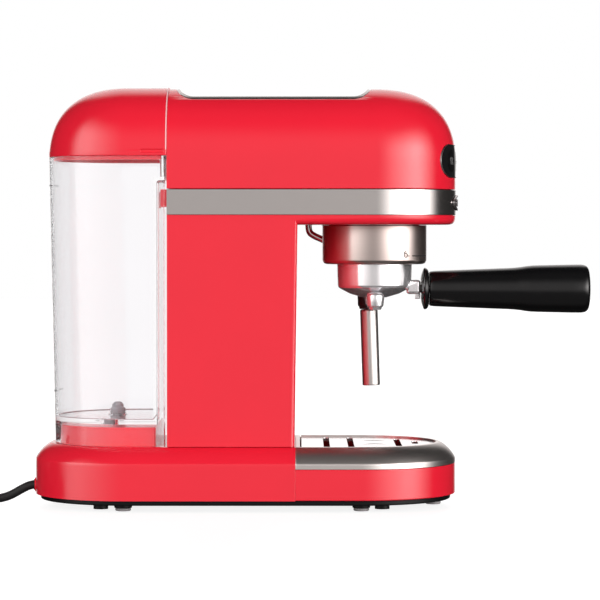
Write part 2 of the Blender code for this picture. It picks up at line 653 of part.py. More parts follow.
def make_base_plate():
    levels = [(PLATE_INSET + PLATE_CHAMFER, PLATE_BOTTOM), (PLATE_INSET, PLATE_BOTTOM + PLATE_CHAMFER),
              (PLATE_INSET, PLATE_TOP)]
    plate = base_shape("base_plate", levels, "black_plastic")
    top = (PLATE_BOTTOM + PLATE_TOP) / 2
    for i, (side, forward) in enumerate(FOOT_PLACES):
        join(plate, upright(f"foot_boss_{i}", FOOT_BOSS_RADIUS, side, forward, FOOT_PAD_HEIGHT + GAP, top))
    for i, (side, forward) in enumerate(SCREW_PLACES):
        join(plate, upright(f"screw_boss_{i}", SCREW_BOSS_RADIUS, side, forward, SCREW_BOSS_BOTTOM, top))
    for i, (side, forward) in enumerate(SCREW_PLACES):
        recess = upright(f"screw_recess_{i}", SCREW_RECESS_RADIUS, side, forward, 0, SCREW_RECESS_TOP)
        hole = upright(f"screw_hole_{i}", SCREW_HOLE_RADIUS, side, forward, 0, PLATE_TOP + OVER)
        cut(plate, recess, hole)
    for i in range(VENT_COUNT):
        forward = (i - (VENT_COUNT - 1) / 2) * VENT_PITCH
        half_x, half_f = VENT_SIZE[0] / 2, VENT_SIZE[1] / 2
        cut(plate, block(f"vent_{i}", (-half_x, y_at(forward + half_f), 0),
                         (half_x, y_at(forward - half_f), PLATE_TOP + OVER)))


def make_feet_and_screws():
    for i, (side, forward) in enumerate(FOOT_PLACES):
        upright(f"foot_pad_{i + 1}", FOOT_PAD_RADIUS, side, forward, 0, FOOT_PAD_HEIGHT, "grey_rubber")
    for i, (side, forward) in enumerate(SCREW_PLACES):
        turned(f"base_screw_{i + 1}", SCREW_PROFILE, (side, y_at(forward), 0), "brushed_steel", steps=12)


def make_base_housing():
    housing = base_shape("base_housing", [(0, BASE_BOTTOM)] + shoulder_levels(), "red_plastic")
    cut(housing, ahead_of("base_front_trim", TRAY_SEAM - GAP))
    levels = [(0, BASE_TOP - OVER), (0, PEDESTAL_TOP - PEDESTAL_CHAMFER), (PEDESTAL_CHAMFER, PEDESTAL_TOP)]
    pedestal = round_ended("pedestal", levels, PEDESTAL_HALF_WIDTH, 0, PEDESTAL_REAR)
    join(housing, cut(pedestal, ahead_of("pedestal_front_trim", PEDESTAL_FRONT)))
    join(housing, lengthwise("cord_bezel", BEZEL_RADIUS, 0, (BEZEL_REAR, BEZEL_FRONT), CORD_EXIT_Z))
    inner_levels = [(WALL, 0)] + [(inset, z) for inset, z in shoulder_levels(WALL)]
    hollow = base_shape("base_hollow", inner_levels)
    cut(housing, cut(hollow, ahead_of("base_hollow_trim", TRAY_SEAM - WALL)))
    under_deck = BASE_TOP - 2 * WALL
    pedestal_hollow = round_ended("pedestal_hollow", [(WALL, under_deck), (WALL, PEDESTAL_TOP - WALL)],
                                  PEDESTAL_HALF_WIDTH, 0, PEDESTAL_REAR)
    cut(housing, cut(pedestal_hollow, ahead_of("pedestal_hollow_trim", PEDESTAL_FRONT - WALL)))
    cut(housing, block("column_pass", (-COLUMN_PASS_HALF_WIDTH, y_at(COLUMN_PASS_FRONT), under_deck),
                       (COLUMN_PASS_HALF_WIDTH, y_at(COLUMN_PASS_REAR), BASE_TOP + OVER)))
    cut(housing, upright("socket_hole", SOCKET_HOLE_RADIUS, 0, COUPLING_FORWARD, BASE_TOP,
                         PEDESTAL_TOP + OVER))
    cut(housing, lengthwise("cord_hole", BEZEL_HOLE, 0, (BEZEL_REAR - OVER, BEZEL_FRONT + OVER), CORD_EXIT_Z))


# ---------------------------------------------------------------- column and head

def make_body_housing():
    """Column and the lower part of the head, moulded in one, with a recess for the band."""
    radius = HEAD_EDGE_RADIUS
    levels = [(radius, HEAD_BOTTOM), (radius * 0.3, HEAD_BOTTOM + radius * 0.3), (0, HEAD_BOTTOM + radius),
              (0, BAND_BOTTOM), (BAND_RECESS, BAND_BOTTOM), (BAND_RECESS, BAND_TOP - GAP)]
    body = upper_shape("body_housing", levels, "red_plastic")
    cut(body, behind("body_rear_trim", COLUMN_REAR))
    join(body, column_solid())
    for side in (-1, 1):
        near, far = sorted((side * GUIDE_LUG_SIDE, side * (GUIDE_LUG_SIDE + GUIDE_LUG_WIDTH)))
        join(body, block(f"guide_lug_{side}", (near, y_at(COLUMN_REAR + WALL), GUIDE_LUG_BOTTOM),
                         (far, y_at(GUIDE_LUG_REACH), GUIDE_LUG_TOP)))
    head_hollow = upper_shape("head_hollow", [(BAND_RECESS + WALL, HEAD_BOTTOM + WALL),
                                              (BAND_RECESS + WALL, BAND_TOP + OVER)])
    cut(body, cut(head_hollow, behind("head_hollow_trim", COLUMN_REAR + WALL)))
    cut(body, block("column_hollow", (-UPPER_HALF_WIDTH + WALL, y_at(COLUMN_FRONT_BOTTOM - WALL), 0),
                    (UPPER_HALF_WIDTH - WALL, y_at(COLUMN_REAR + WALL), HEAD_BOTTOM + 2 * WALL)))
    below, above = HEAD_BOTTOM - OVER, HEAD_BOTTOM + 2 * WALL
    cut(body, upright("group_hole", GROUP_HOLE_RADIUS, 0, GROUP_FORWARD, below, above, segments=24))
    cut(body, upright("wand_hole", WAND_HOLE_RADIUS, WAND_SIDE, WAND_PIVOT_FORWARD, below, above))
    cut(body, *wall_holes("body"))


def wall_holes(name):
    """Cutters for the valve stem in the side wall and for the badge's stud in the nose."""
    side_span = (UPPER_HALF_WIDTH - 4 * WALL, UPPER_HALF_WIDTH + OVER)
    nose_span = (UPPER_FRONT + OVER, UPPER_FRONT - 4 * WALL)
    stem = crosswise(name + "_stem_hole", STEM_HOLE_RADIUS, side_span, KNOB_FORWARD, KNOB_Z)
    stud = lengthwise(name + "_badge_hole", BADGE_STUD_RADIUS + GAP, 0, nose_span, BADGE_HEIGHT_Z)
    return stem, stud


def column_solid():
    """Column with a slightly leaning front face and rounded front corners."""
    shape = bmesh.new()
    bmesh.ops.create_cube(shape, size=1.0)
    for corner in shape.verts:
        top, front = corner.co.z > 0, corner.co.y < 0
        forward = (COLUMN_FRONT_TOP if top else COLUMN_FRONT_BOTTOM) if front else COLUMN_REAR
        corner.co = (math.copysign(UPPER_HALF_WIDTH, corner.co.x), y_at(forward),
                     HEAD_BOTTOM + HEAD_EDGE_RADIUS if top else COLUMN_BOTTOM)
    front_edges = [edge for edge in shape.edges
                   if all(v.co.y < 0.5 * (y_at(COLUMN_REAR) + y_at(COLUMN_FRONT_TOP)) for v in edge.verts)
                   and abs(edge.verts[0].co.z - edge.verts[1].co.z) > WALL]
    bmesh.ops.bevel(shape, geom=front_edges, offset=COLUMN_EDGE_RADIUS, segments=3, profile=0.5,
                    affect="EDGES")
    return from_bmesh("column", shape, None)


def make_steel_band():
    band = upper_shape("steel_band", [(-BAND_PROUD, BAND_BOTTOM + GAP), (-BAND_PROUD, BAND_TOP - GAP)],
                       "brushed_steel")
    inside = upper_shape("band_inside", [(BAND_THICKNESS - BAND_PROUD, BAND_BOTTOM - OVER),
                                         (BAND_THICKNESS - BAND_PROUD, BAND_TOP + OVER)])
    cut(band, inside, behind("band_rear_trim", COLUMN_REAR), *wall_holes("band"))


def nose_slab(name, height, finish=None):
    """Level slab of the head across the band, swollen by a height."""
    return upper_shape(name, [(-height, BAND_BOTTOM), (-height, BAND_TOP)], finish)


def make_badge():
    """Oval plate bent round the nose: a raised ring, a dished face and a raised middle, on a stud."""
    badge = nose_slab("badge", BADGE_PROUD, "polished_steel")
    keep_inside(badge, oval_prism("badge_outline", *BADGE_OVAL))
    cut(badge, upper_shape("badge_inside", [(-BADGE_SEAT, BAND_BOTTOM - OVER), (-BADGE_SEAT, BAND_TOP + OVER)]))
    dish = nose_slab("badge_dish", BADGE_PROUD + OVER)
    keep_inside(dish, oval_prism("badge_opening", *BADGE_OPENING))
    cut(badge, cut(dish, nose_slab("badge_face", BADGE_FACE), oval_prism("badge_emblem", *BADGE_EMBLEM)))
    stud_span = (UPPER_FRONT + (BADGE_SEAT + BADGE_FACE) / 2, UPPER_FRONT - BADGE_STUD_REACH)
    join(badge, lengthwise("badge_stud", BADGE_STUD_RADIUS, 0, stud_span, BADGE_HEIGHT_Z, segments=20))


def make_head_upper():
    head = upper_shape("head_cover", [(0, BAND_TOP + GAP / 2)] + crown_levels(), "red_plastic")
    cut(head, behind("cover_rear_trim", COLUMN_REAR), saddle("cover_saddle", GAP))
    hollow = upper_shape("cover_hollow", [(WALL, BAND_TOP - OVER)] + crown_levels(WALL))
    cut(hollow, behind("cover_hollow_trim", COLUMN_REAR + WALL), saddle("cover_hollow_saddle", GAP + WALL))
    cut(head, hollow, pill_prism("panel_opening", GAP))


def make_cup_tray():
    """Thin sheet with curled ends, trimmed to the head's arched top."""
    lower = tray_curve(0, TRAY_CURL_STEPS)
    upper = tray_curve(-TRAY_SHEET, TRAY_CURL_STEPS)
    sheet = extruded("cup_tray", lower + list(reversed(upper)), UPPER_HALF_WIDTH - OVER, "polished_steel")
    keep_inside(sheet, upper_shape("tray_trim", [(0, BAND_TOP)] + crown_levels()))


def make_control_panel():
    panel = proud_of_head("control_panel", PANEL_PROUD, BAND_TOP, "black_plastic")
    cut(panel, proud_of_head("panel_inside", PANEL_PROUD - PANEL_THICKNESS, BAND_TOP - OVER))
    keep_inside(panel, pill_prism("panel_outline", 0))
    for name, degrees in BUTTON_ANGLES.items():
        cut(panel, button_bar(name + "_hole", degrees, BUTTON_RADIUS + GAP))


def proud_of_head(name, height, bottom, finish=None):
    """Solid of the head's outer shape, swollen by a height."""
    return upper_shape(name, [(-height, bottom)] + crown_levels(-height), finish)


def button_bar(name, degrees, radius):
    """Cylinder through the panel along a button's own axis."""
    out = Vector((math.sin(math.radians(degrees)), -math.cos(math.radians(degrees)), 0))
    middle = Vector((0, y_at(UPPER_FRONT - UPPER_HALF_WIDTH), PANEL_HEIGHT_Z))
    return round_bar(name, radius, middle + out * (UPPER_HALF_WIDTH - BUTTON_DEPTH),
                     middle + out * (UPPER_HALF_WIDTH + 5 * OVER), segments=20)


def make_buttons():
    for name, degrees in BUTTON_ANGLES.items():
        button = proud_of_head(name, BUTTON_PROUD, BAND_TOP, "black_plastic")
        keep_inside(button, button_bar(name + "_bar", degrees, BUTTON_RADIUS))


def make_control_board():
    low = (-BOARD_HALF_WIDTH, y_at(BOARD_FRONT), PANEL_HEIGHT_Z - BOARD_HALF_HEIGHT)
    high = (BOARD_HALF_WIDTH, y_at(BOARD_FRONT - BOARD_THICKNESS), PANEL_HEIGHT_Z + BOARD_HALF_HEIGHT)
    board = block("control_board", low, high, "circuit_board")
    half = SWITCH_SIZE / 2
    for name, degrees in BUTTON_ANGLES.items():
        turn = math.radians(degrees)
        side = SWITCH_REACH * math.sin(turn)
        front = UPPER_FRONT - UPPER_HALF_WIDTH + SWITCH_REACH * math.cos(turn) - half * abs(math.sin(turn))
        join(board, block(name + "_switch", (side - half, y_at(front), PANEL_HEIGHT_Z - half),
                          (side + half, y_at(BOARD_FRONT - BOARD_THICKNESS / 2), PANEL_HEIGHT_Z + half)))


# ---------------------------------------------------------------- group and portafilter

def ear_sector(name, middle_degrees, reach, span, half_angle):
    """Wedge of a ring round the group axis, opening towards an angle from the front."""
    steps = 4
    outline = []
    for radius, order in ((reach[1], range(steps + 1)), (reach[0], range(steps, -1, -1))):
        for step in order:
            angle = math.radians(middle_degrees - half_angle + 2 * half_angle * step / steps - 90)
            outline.append((radius * math.cos(angle), y_at(GROUP_FORWARD) + radius * math.sin(angle)))
    return loft(name, [(outline, span[0]), (outline, span[1])])


def make_group():
    place = (0, y_at(GROUP_FORWARD), 0)
    turned("group_collar", COLLAR_PROFILE, place, "brushed_steel", closed=True, steps=32)
    head = turned("group_head", GROUP_HEAD_PROFILE, place, "aluminium", steps=24)
    for i, degrees in enumerate((90, 270)):
        cut(head, ear_sector(f"ear_slot_{i}", degrees - UNLOCK_ANGLE, EAR_SLOT_REACH, EAR_SLOT_SPAN,
                             EAR_HALF_ANGLE + 2))
    cut(head, upright("group_inlet", GROUP_INLET_RADIUS, GROUP_INLET_SIDE, GROUP_FORWARD, *GROUP_INLET_SPAN,
                      segments=8))
    turned("group_gasket", GASKET_PROFILE, place, "black_rubber", closed=True, steps=24)
    turned("shower_screen", SCREEN_PROFILE, place, "brushed_steel")


def make_portafilter():
    place = (0, y_at(GROUP_FORWARD), 0)
    bowl = turned("portafilter_bowl", BOWL_PROFILE, place, "polished_steel", closed=True, steps=28)
    for i, degrees in enumerate((90, 270)):
        join(bowl, ear_sector(f"ear_{i}", degrees, EAR_REACH, EAR_SPAN, EAR_HALF_ANGLE))
    neck = block("neck", (-NECK_HALF_WIDTH, y_at(NECK_FRONT), NECK_BOTTOM),
                 (NECK_HALF_WIDTH, y_at(NECK_REAR), NECK_TOP))
    rib_half, rib_rear, rib_bottom = NECK_RIB
    rib = block("neck_rib", (-rib_half, y_at(NECK_FRONT - GAP), rib_bottom),
                (rib_half, y_at(rib_rear), NECK_BOTTOM + OVER))
    join(bowl, neck, rib)
    cut(bowl, lengthwise("bolt_hole", BOLT_RADIUS + GAP, 0, (BOLT_REAR - GAP, NECK_FRONT + OVER), HANDLE_Z))
    turned("filter_basket", BASKET_PROFILE, place, "brushed_steel")
    make_retainer()
    along = (0, BASE_MIDDLE_Y, HANDLE_Z)
    turned("handle_flange", FLANGE_PROFILE, along, "black_plastic", "-Y", closed=True)
    turned("handle_grip", GRIP_PROFILE, along, "black_plastic", "-Y")
    lengthwise("handle_bolt", BOLT_RADIUS, 0, (BOLT_REAR, BOLT_FRONT), HANDLE_Z, "brushed_steel")
    make_spout()


def make_retainer():
    """Sprung wire ring that holds the basket in the bowl."""
    profile = []
    for step in range(RETAINER_SIDES):
        angle = math.pi / 2 - math.tau * step / RETAINER_SIDES
        profile.append(((RETAINER_RADIUS + RETAINER_WIRE * math.cos(angle)) / MM,
                        (RETAINER_Z + RETAINER_WIRE * math.sin(angle)) / MM))
    turned("basket_retainer", profile, (0, y_at(GROUP_FORWARD), 0), "polished_steel", closed=True, steps=20)


def make_spout():
    """Twin outlet under the bowl: a cross bar with a domed cap and a mouth at each end."""
    sides = (-SPOUT_SIDE, SPOUT_SIDE)
    spout = crosswise("spout", SPOUT_BAR_RADIUS, sides, GROUP_FORWARD, SPOUT_BAR_Z, "polished_steel")
    join(spout, upright("spout_stub", SPOUT_STUB_RADIUS, 0, GROUP_FORWARD, SPOUT_BAR_Z, SPOUT_STUB_TOP))
    for i, side in enumerate(sides):
        join(spout, turned(f"spout_cap_{i}", SPOUT_CAP_PROFILE, (side, y_at(GROUP_FORWARD), 0), steps=12))
    for i, side in enumerate(sides):
        cut(spout, upright(f"spout_mouth_{i}", SPOUT_MOUTH_RADIUS, side, GROUP_FORWARD, *SPOUT_MOUTH_SPAN))
    cut(spout, crosswise("spout_channel", SPOUT_BORE, sides, GROUP_FORWARD, SPOUT_BAR_Z, segments=8),
        upright("spout_feed", SPOUT_BORE, 0, GROUP_FORWARD, SPOUT_BAR_Z, SPOUT_STUB_TOP + OVER, segments=10))


# ---------------------------------------------------------------- steam wand, valve and knob

def wand_point(along):
    """Point on the leaning axis of the grip and sleeve, a distance up from the sleeve's lower end."""
    forward, z = WAND_AXIS_FOOT
    return Vector((WAND_SIDE, y_at(forward) + along * math.sin(WAND_TILT), z + along * math.cos(WAND_TILT)))


def make_steam_wand():
    route = [(WAND_SIDE / MM, forward, z) for forward, z in WAND_ROUTE]
    tube("steam_pipe", smooth_route(route, 2), WAND_PIPE_RADIUS, "polished_steel")
    for name, profile, finish, closed in (("wand_grip", WAND_GRIP_PROFILE, "black_plastic", True),
                                          ("frothing_sleeve", SLEEVE_PROFILE, "polished_steel", True),
                                          ("steam_tip", TIP_PROFILE, "brass", False)):
        piece = turned(name, profile, wand_point(0), finish, closed=closed, steps=20)
        piece.rotation_euler = (-WAND_TILT, 0, 0)
    turned("swivel_nut", SWIVEL_NUT_PROFILE, (WAND_SIDE, y_at(WAND_PIVOT_FORWARD), 0), "brass", closed=True,
           steps=12)


def make_steam_valve():
    valve = block_mm("steam_valve", VALVE_BODY, "brass")
    cut(valve, crosswise("valve_bore", STEM_HOLE_RADIUS, VALVE_BORE_SPAN, KNOB_FORWARD, KNOB_Z))
    axis_point = (0, y_at(KNOB_FORWARD), KNOB_Z)
    turned("valve_stem", STEM_PROFILE, axis_point, "brass", "X", steps=12)
    knob = turned("steam_knob", KNOB_PROFILE, axis_point, "black_plastic", "X")
    for i in range(KNOB_FLUTES):
        angle = math.tau * i / KNOB_FLUTES
        forward = KNOB_FORWARD - KNOB_FLUTE_CIRCLE * math.cos(angle)
        z = KNOB_Z + KNOB_FLUTE_CIRCLE * math.sin(angle)
        cut(knob, crosswise(f"knob_flute_{i}", KNOB_FLUTE_RADIUS, KNOB_FLUTE_SPAN, forward, z, segments=8))


# ---------------------------------------------------------------- water and steam circuit

def make_water_circuit():
    block_low, block_high = THERMOBLOCK
    heater = block_mm("thermoblock", THERMOBLOCK, "aluminium")
    span = (block_high[1] - block_low[1]) * MM
    for i in range(THERMOBLOCK_RIBS):
        forward = block_low[1] * MM + span * (i + 0.5) / THERMOBLOCK_RIBS
        top = block_high[2] * MM
        low = (block_low[0] * MM + OVER, y_at(forward + RIB_THICKNESS / 2), top - OVER)
        high = (block_high[0] * MM - OVER, y_at(forward - RIB_THICKNESS / 2), top + RIB_HEIGHT)
        join(heater, block(f"rib_{i}", low, high))
    for i, side in enumerate(HEATER_TERMINAL_SIDES):
        join(heater, lengthwise(f"heater_terminal_{i}", HEATER_TERMINAL_RADIUS, side,
                                (HEATER_TERMINAL_REAR, HEATER_TERMINAL_FRONT), HEATER_TERMINAL_Z))
    turned("pump", PUMP_PROFILE, (0, BASE_MIDDLE_Y, PUMP_Z), "black_plastic", "-Y", steps=20)
    yoke = block_mm("pump_yoke", PUMP_YOKE, "brushed_steel")
    cut(yoke, lengthwise("yoke_bore", PUMP_YOKE_BORE, 0, PUMP_YOKE_BORE_SPAN, PUMP_Z, segments=20))
    tube("inlet_hose", smooth_route(INLET_HOSE_ROUTE, 1), INLET_HOSE_RADIUS, "silicone")
    tube("pressure_hose", smooth_route(PRESSURE_HOSE_ROUTE, 1), PRESSURE_HOSE_RADIUS, "silicone")
    tube("steam_tube", smooth_route(STEAM_TUBE_ROUTE, 1), STEAM_TUBE_RADIUS, "copper")


# ---------------------------------------------------------------- water tank and lid

def tank_ring(inset, z):
    """Plan outline of the tank at a height: its round back leans in towards the bottom."""
    lean = TANK_REAR_DRAFT * (TANK_TOP - z) / (TANK_TOP - TANK_BOTTOM)
    return stadium_ring(TANK_HALF_WIDTH - inset, UPPER_FRONT - inset, UPPER_REAR + lean + inset), z


def make_water_tank():
    tank = loft("water_tank", [tank_ring(0, TANK_BOTTOM), tank_ring(0, TANK_TOP)], "clear_plastic")
    cut(tank, ahead_of("tank_front_trim", TANK_FRONT))
    half = TANK_HALF_WIDTH - TANK_FLANGE
    cut(tank, block("tank_recess", (-half, y_at(TANK_FRONT) - OVER, TANK_BOTTOM - OVER),
                    (half, y_at(TANK_RECESS_FRONT), TANK_RECESS_TOP)))
    cavity = loft("tank_cavity", [tank_ring(WALL, TANK_FLOOR_TOP), tank_ring(WALL, TANK_TOP + OVER)])
    cut(cavity, ahead_of("tank_cavity_trim", TANK_FRONT - WALL),
        ahead_between("tank_cavity_step", TANK_RECESS_FRONT - WALL, 0, TANK_RECESS_TOP + WALL))
    skirt = loft("tank_skirt_hollow", [tank_ring(TANK_FLANGE, TANK_BOTTOM - OVER),
                                       tank_ring(TANK_FLANGE, TANK_FLOOR_BOTTOM)])
    cut(tank, cavity, cut(skirt, ahead_of("tank_skirt_trim", TANK_FRONT + OVER)))
    join(tank, upright("coupling", COUPLING_RADIUS, 0, COUPLING_FORWARD, COUPLING_BOTTOM,
                       (TANK_FLOOR_BOTTOM + TANK_FLOOR_TOP) / 2, segments=20))
    cut(tank, upright("valve_hole", VALVE_HOLE_RADIUS, 0, COUPLING_FORWARD, BASE_TOP, TANK_FLOOR_TOP + OVER))


def make_tank_fittings():
    place = (0, y_at(COUPLING_FORWARD), 0)
    turned("tank_valve", TANK_VALVE_PROFILE, place, "grey_plastic", steps=16)
    turned("coupling_socket", SOCKET_PROFILE, place, "grey_plastic", steps=20)


def make_tank_lid():
    lid = upper_shape("tank_lid", [(0, LID_BOTTOM)] + crown_levels(0, LID_TOP)[1:], "red_plastic")
    cut(lid, ahead_of("lid_front_trim", LID_FRONT))
    skirt = upper_shape("lid_skirt", [(LID_SKIRT_INSET, LID_SKIRT_BOTTOM), (LID_SKIRT_INSET, LID_SKIRT_TOP)])
    join(lid, cut(skirt, ahead_of("lid_skirt_trim", LID_SKIRT_FRONT)))
    inner = LID_SKIRT_INSET + LID_SKIRT_WALL
    levels = [(inner, LID_SKIRT_BOTTOM - OVER), (inner, LID_SKIRT_TOP), (WALL, LID_SKIRT_TOP)]
    hollow = upper_shape("lid_hollow", levels + crown_levels(WALL, LID_TOP)[2:])
    cut(hollow, ahead_of("lid_hollow_trim", LID_FRONT - WALL),
        ahead_between("lid_hollow_step", LID_SKIRT_FRONT - LID_SKIRT_WALL, 0, LID_SKIRT_TOP))
    cut(lid, hollow)


# ---------------------------------------------------------------- drip tray

def make_drip_tray():
    tray = base_shape("drip_tray", [(0, DRIP_BOTTOM), (0, DRIP_TOP)], "red_plastic")
    cut(tray, behind("tray_rear_trim", DRIP_REAR))
    well = base_shape("tray_well", [(WALL, DRIP_BOTTOM + WALL), (WALL, DRIP_TOP + OVER)])
    cut(tray, cut(well, behind("tray_well_trim", DRIP_REAR + WALL)))

    rim = base_shape("tray_rim", [(0, RIM_BOTTOM)] + shoulder_levels(), "brushed_steel")
    cut(rim, behind("rim_rear_trim", DRIP_REAR))
    levels = [(RIM_SHEET, RIM_BOTTOM - OVER), (RIM_SHEET, SHOULDER_START),
              (RIM_LEDGE_OUTER, RIM_LEDGE_BOTTOM), (RIM_LEDGE_INNER, RIM_LEDGE_BOTTOM),
              (RIM_LEDGE_INNER, RIM_LEDGE_TOP),
              (RIM_OPENING_INSET, RIM_LEDGE_TOP), (RIM_OPENING_INSET, BASE_TOP + OVER)]
    opening = base_shape("rim_opening", levels)
    cut(rim, cut(opening, behind("rim_opening_trim", DRIP_REAR + RIM_REAR_BAR)))


def make_drip_grille():
    levels = [(GRILLE_INSET, GRILLE_BOTTOM), (GRILLE_INSET, GRILLE_TOP)]
    grille = base_shape("drip_grille", levels, "polished_steel")
    cut(grille, behind("grille_rear_trim", GRILLE_REAR))
    low, high = GRILLE_BOTTOM - OVER, GRILLE_TOP + OVER
    for i, (forward, half_length) in enumerate(SLOTS):
        half = half_length * MM
        cut(grille, block(f"slot_{i}", (-half, y_at(forward * MM + SLOT_WIDTH / 2), low),
                          (half, y_at(forward * MM - SLOT_WIDTH / 2), high)))
    for i, side in enumerate(CURVED_SLOT_SIDES):
        cut(grille, curved_slot(f"curved_slot_{i}", side * MM, low, high))
    half_f, half_x = END_SLOT_SIZE[0] / 2, END_SLOT_SIZE[1] / 2
    for i, side in enumerate((-END_SLOT_SIDE, END_SLOT_SIDE)):
        cut(grille, block(f"end_slot_{i}", (side - half_x, y_at(GROUP_FORWARD + half_f), low),
                          (side + half_x, y_at(GROUP_FORWARD - half_f), high)))


def curved_slot(name, side, low, high):
    """Crescent-shaped cutter that bows to the right, with tapered ends."""
    steps = CURVED_SLOT_STEPS
    outline = []
    for edge, order in ((1, range(steps + 1)), (-1, range(steps - 1, 0, -1))):
        for step in order:
            share = 2 * step / steps - 1
            bow = CURVED_SLOT_BOW * (0.5 - share ** 2)
            width = CURVED_SLOT_WIDTH / 2 * (1 - share ** 2)
            outline.append((side + bow + edge * width, y_at(GROUP_FORWARD + CURVED_SLOT_RADIUS * share)))
    return loft(name, [(outline, low), (outline, high)])


# ---------------------------------------------------------------- mains cord

def make_cord():
    turned("cord_bushing", BUSHING_PROFILE, (0, BASE_MIDDLE_Y, CORD_EXIT_Z), "black_rubber", "Y",
           closed=True, steps=16)
    tube("power_cord", smooth_route(CORD_ROUTE, CORD_SAMPLES_PER_LEG), CORD_RADIUS, "black_rubber")
    diameter = 2 * CORD_RADIUS / MM
    outer = COIL_RADIUS / MM + diameter * COIL_DIAMETERS_WIDE / 2
    inner = COIL_RADIUS / MM - diameter * COIL_DIAMETERS_WIDE / 2
    height = COIL_DIAMETERS_HIGH * diameter
    ring = [(outer, height), (outer, 0), (inner, 0), (inner, height)]
    turned("cord_coil", ring, (COIL_CENTRE[0], y_at(COIL_CENTRE[1]), 0), "black_rubber", closed=True,
           steps=28)
    tube("cord_tail", smooth_route(TAIL_ROUTE, CORD_SAMPLES_PER_LEG), CORD_RADIUS, "black_rubber")
    side, forward, z = PLUG_PLACE
    turned("plug_body", PLUG_PROFILE, (side, y_at(forward), z), "black_plastic", "Y", steps=16)
    for i, across in enumerate((-PIN_SPACING / 2, PIN_SPACING / 2)):
        span = (forward - PIN_ROOT, forward - PIN_ROOT - PIN_LENGTH)
        lengthwise(f"plug_pin_{i + 1}", PIN_RADIUS, side + across, span, z, "polished_steel", segments=10)


clear_scene()
make_base_plate()
make_feet_and_screws()
make_base_housing()
make_body_housing()
make_steel_band()
make_badge()
make_head_upper()
make_cup_tray()
make_control_panel()
make_buttons()
make_control_board()
make_group()
make_portafilter()
make_steam_wand()
make_steam_valve()
make_water_circuit()
make_water_tank()
make_tank_fittings()
make_tank_lid()
make_drip_tray()
make_drip_grille()
make_cord()
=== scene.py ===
"""Looks of the pump espresso machine: fine surfaces, finishes, mains cord, studio and camera.

The CAD frame: metres, +Z up, the front faces -Y, the tank is at +Y and the steam wand at +X.  Sizes here are
in millimetres, as sideways, distance forward of the middle of the base, and height; spot() turns them into a
point.  Only the camera and the studio are in metres.  A level is (inset of a round end and the sides, inset
of a flat end, height).
"""
import json
import math
from math import acos, cos, pi, radians, sin, sqrt, tau

import bmesh
import bpy
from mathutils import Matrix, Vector


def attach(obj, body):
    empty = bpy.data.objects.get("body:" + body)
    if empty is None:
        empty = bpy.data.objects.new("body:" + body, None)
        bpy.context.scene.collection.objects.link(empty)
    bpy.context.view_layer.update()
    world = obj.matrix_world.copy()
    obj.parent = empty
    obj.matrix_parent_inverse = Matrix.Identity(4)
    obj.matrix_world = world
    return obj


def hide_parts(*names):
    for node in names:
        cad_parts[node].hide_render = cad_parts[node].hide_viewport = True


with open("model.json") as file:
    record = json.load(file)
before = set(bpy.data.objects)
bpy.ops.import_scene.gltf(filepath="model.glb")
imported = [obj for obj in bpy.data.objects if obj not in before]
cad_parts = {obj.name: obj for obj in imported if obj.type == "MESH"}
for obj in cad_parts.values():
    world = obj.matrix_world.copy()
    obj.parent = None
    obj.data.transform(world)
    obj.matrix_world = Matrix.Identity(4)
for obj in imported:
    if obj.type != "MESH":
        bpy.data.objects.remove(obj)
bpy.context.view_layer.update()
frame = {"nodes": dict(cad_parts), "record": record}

MM = 0.001
GAP = 0.3
WALL = 2.5
BASE_MIDDLE = 48.75  # Y of the middle of the base
QUARTER_STEPS = 24  # facets in each quarter of a round end
TURN_STEPS = 96  # facets round a turned piece
TUBE_RESOLUTION = 6  # of the bevels of tubes
WELD_DISTANCE = 0.001
FLAT_CORNER = 168  # degrees above which a corner counts as straight
CORNER_SHARE = 0.45  # of a side's length, which is the most that one corner's rounding takes
SHARP_ANGLE, BEVELLED_SHARP_ANGLE = 32, 50  # degrees above which an edge is shaded sharp
BEVEL_ANGLE = 38  # degrees above which an edge is rounded


class Plan:
    """Round-ended plan shape that many pieces share."""

    def __init__(self, half_width, front, rear):
        self.half_width, self.front, self.rear = half_width, front, rear


BASE = Plan(70, 154, -154)
UPPER = Plan(60, 154, -144)
PEDESTAL = Plan(52, 0, -136)

# Base and drip tray
PLATE_INSET = 3.5
PLATE_BOTTOM, PLATE_TOP = 5.0, 8.4
PLATE_LEVELS = [(PLATE_INSET + 6, 0, PLATE_BOTTOM), (PLATE_INSET, 0, PLATE_BOTTOM), (PLATE_INSET, 0, PLATE_TOP)]
BASE_BOTTOM, BASE_TOP = 8.7, 46.4
SHOULDER_SIZE = 11.5
SHOULDER_BULGE = 1.3
SHOULDER_STEPS = 12
SHOULDER_START = BASE_TOP - SHOULDER_SIZE
SHOULDER_ROUND = 2.2
BASE_SEAM = 36.6
TRAY_SEAM = 36.66
PEDESTAL_FRONT = -63.5
PEDESTAL_LEVELS = [(0, 0, 45), (0, 0, 60), (6, 6, 60)]
HOUSING_INSIDE = [(16, 3, 43.6), (WALL, 3, 31.0), (WALL, 3, BASE_BOTTOM), (0, 0, BASE_BOTTOM)]
HOUSING_SIDE, HOUSING_CEILING = (0, 0, 20), (20, 0, BASE_TOP)
SOCKET_HOLE = (9.1, 42, 64)  # radius, bottom, top
FEET = [(-50, -87), (50, -87), (-50, 84), (50, 84), (0, 138)]  # sideways, forward
SCREWS = [(-50, -103), (50, -103), (-50, 99), (50, 99)]
FOOT_PROFILE = [(0, 2.0), (5.6, 2.0), (5.6, 0.5), (5.1, 0), (3.4, 0), (2.8, 0.35), (0, 0.35)]
FOOT_BOSS_PROFILE = [(0, 6.6), (6.4, 6.6), (6.4, 2.3), (0, 2.3)]
SCREW_BOSS, SCREW_RECESS = (5.3, 1.5, 6.6), (3.3, 0, 4.9)  # radius, bottom, top
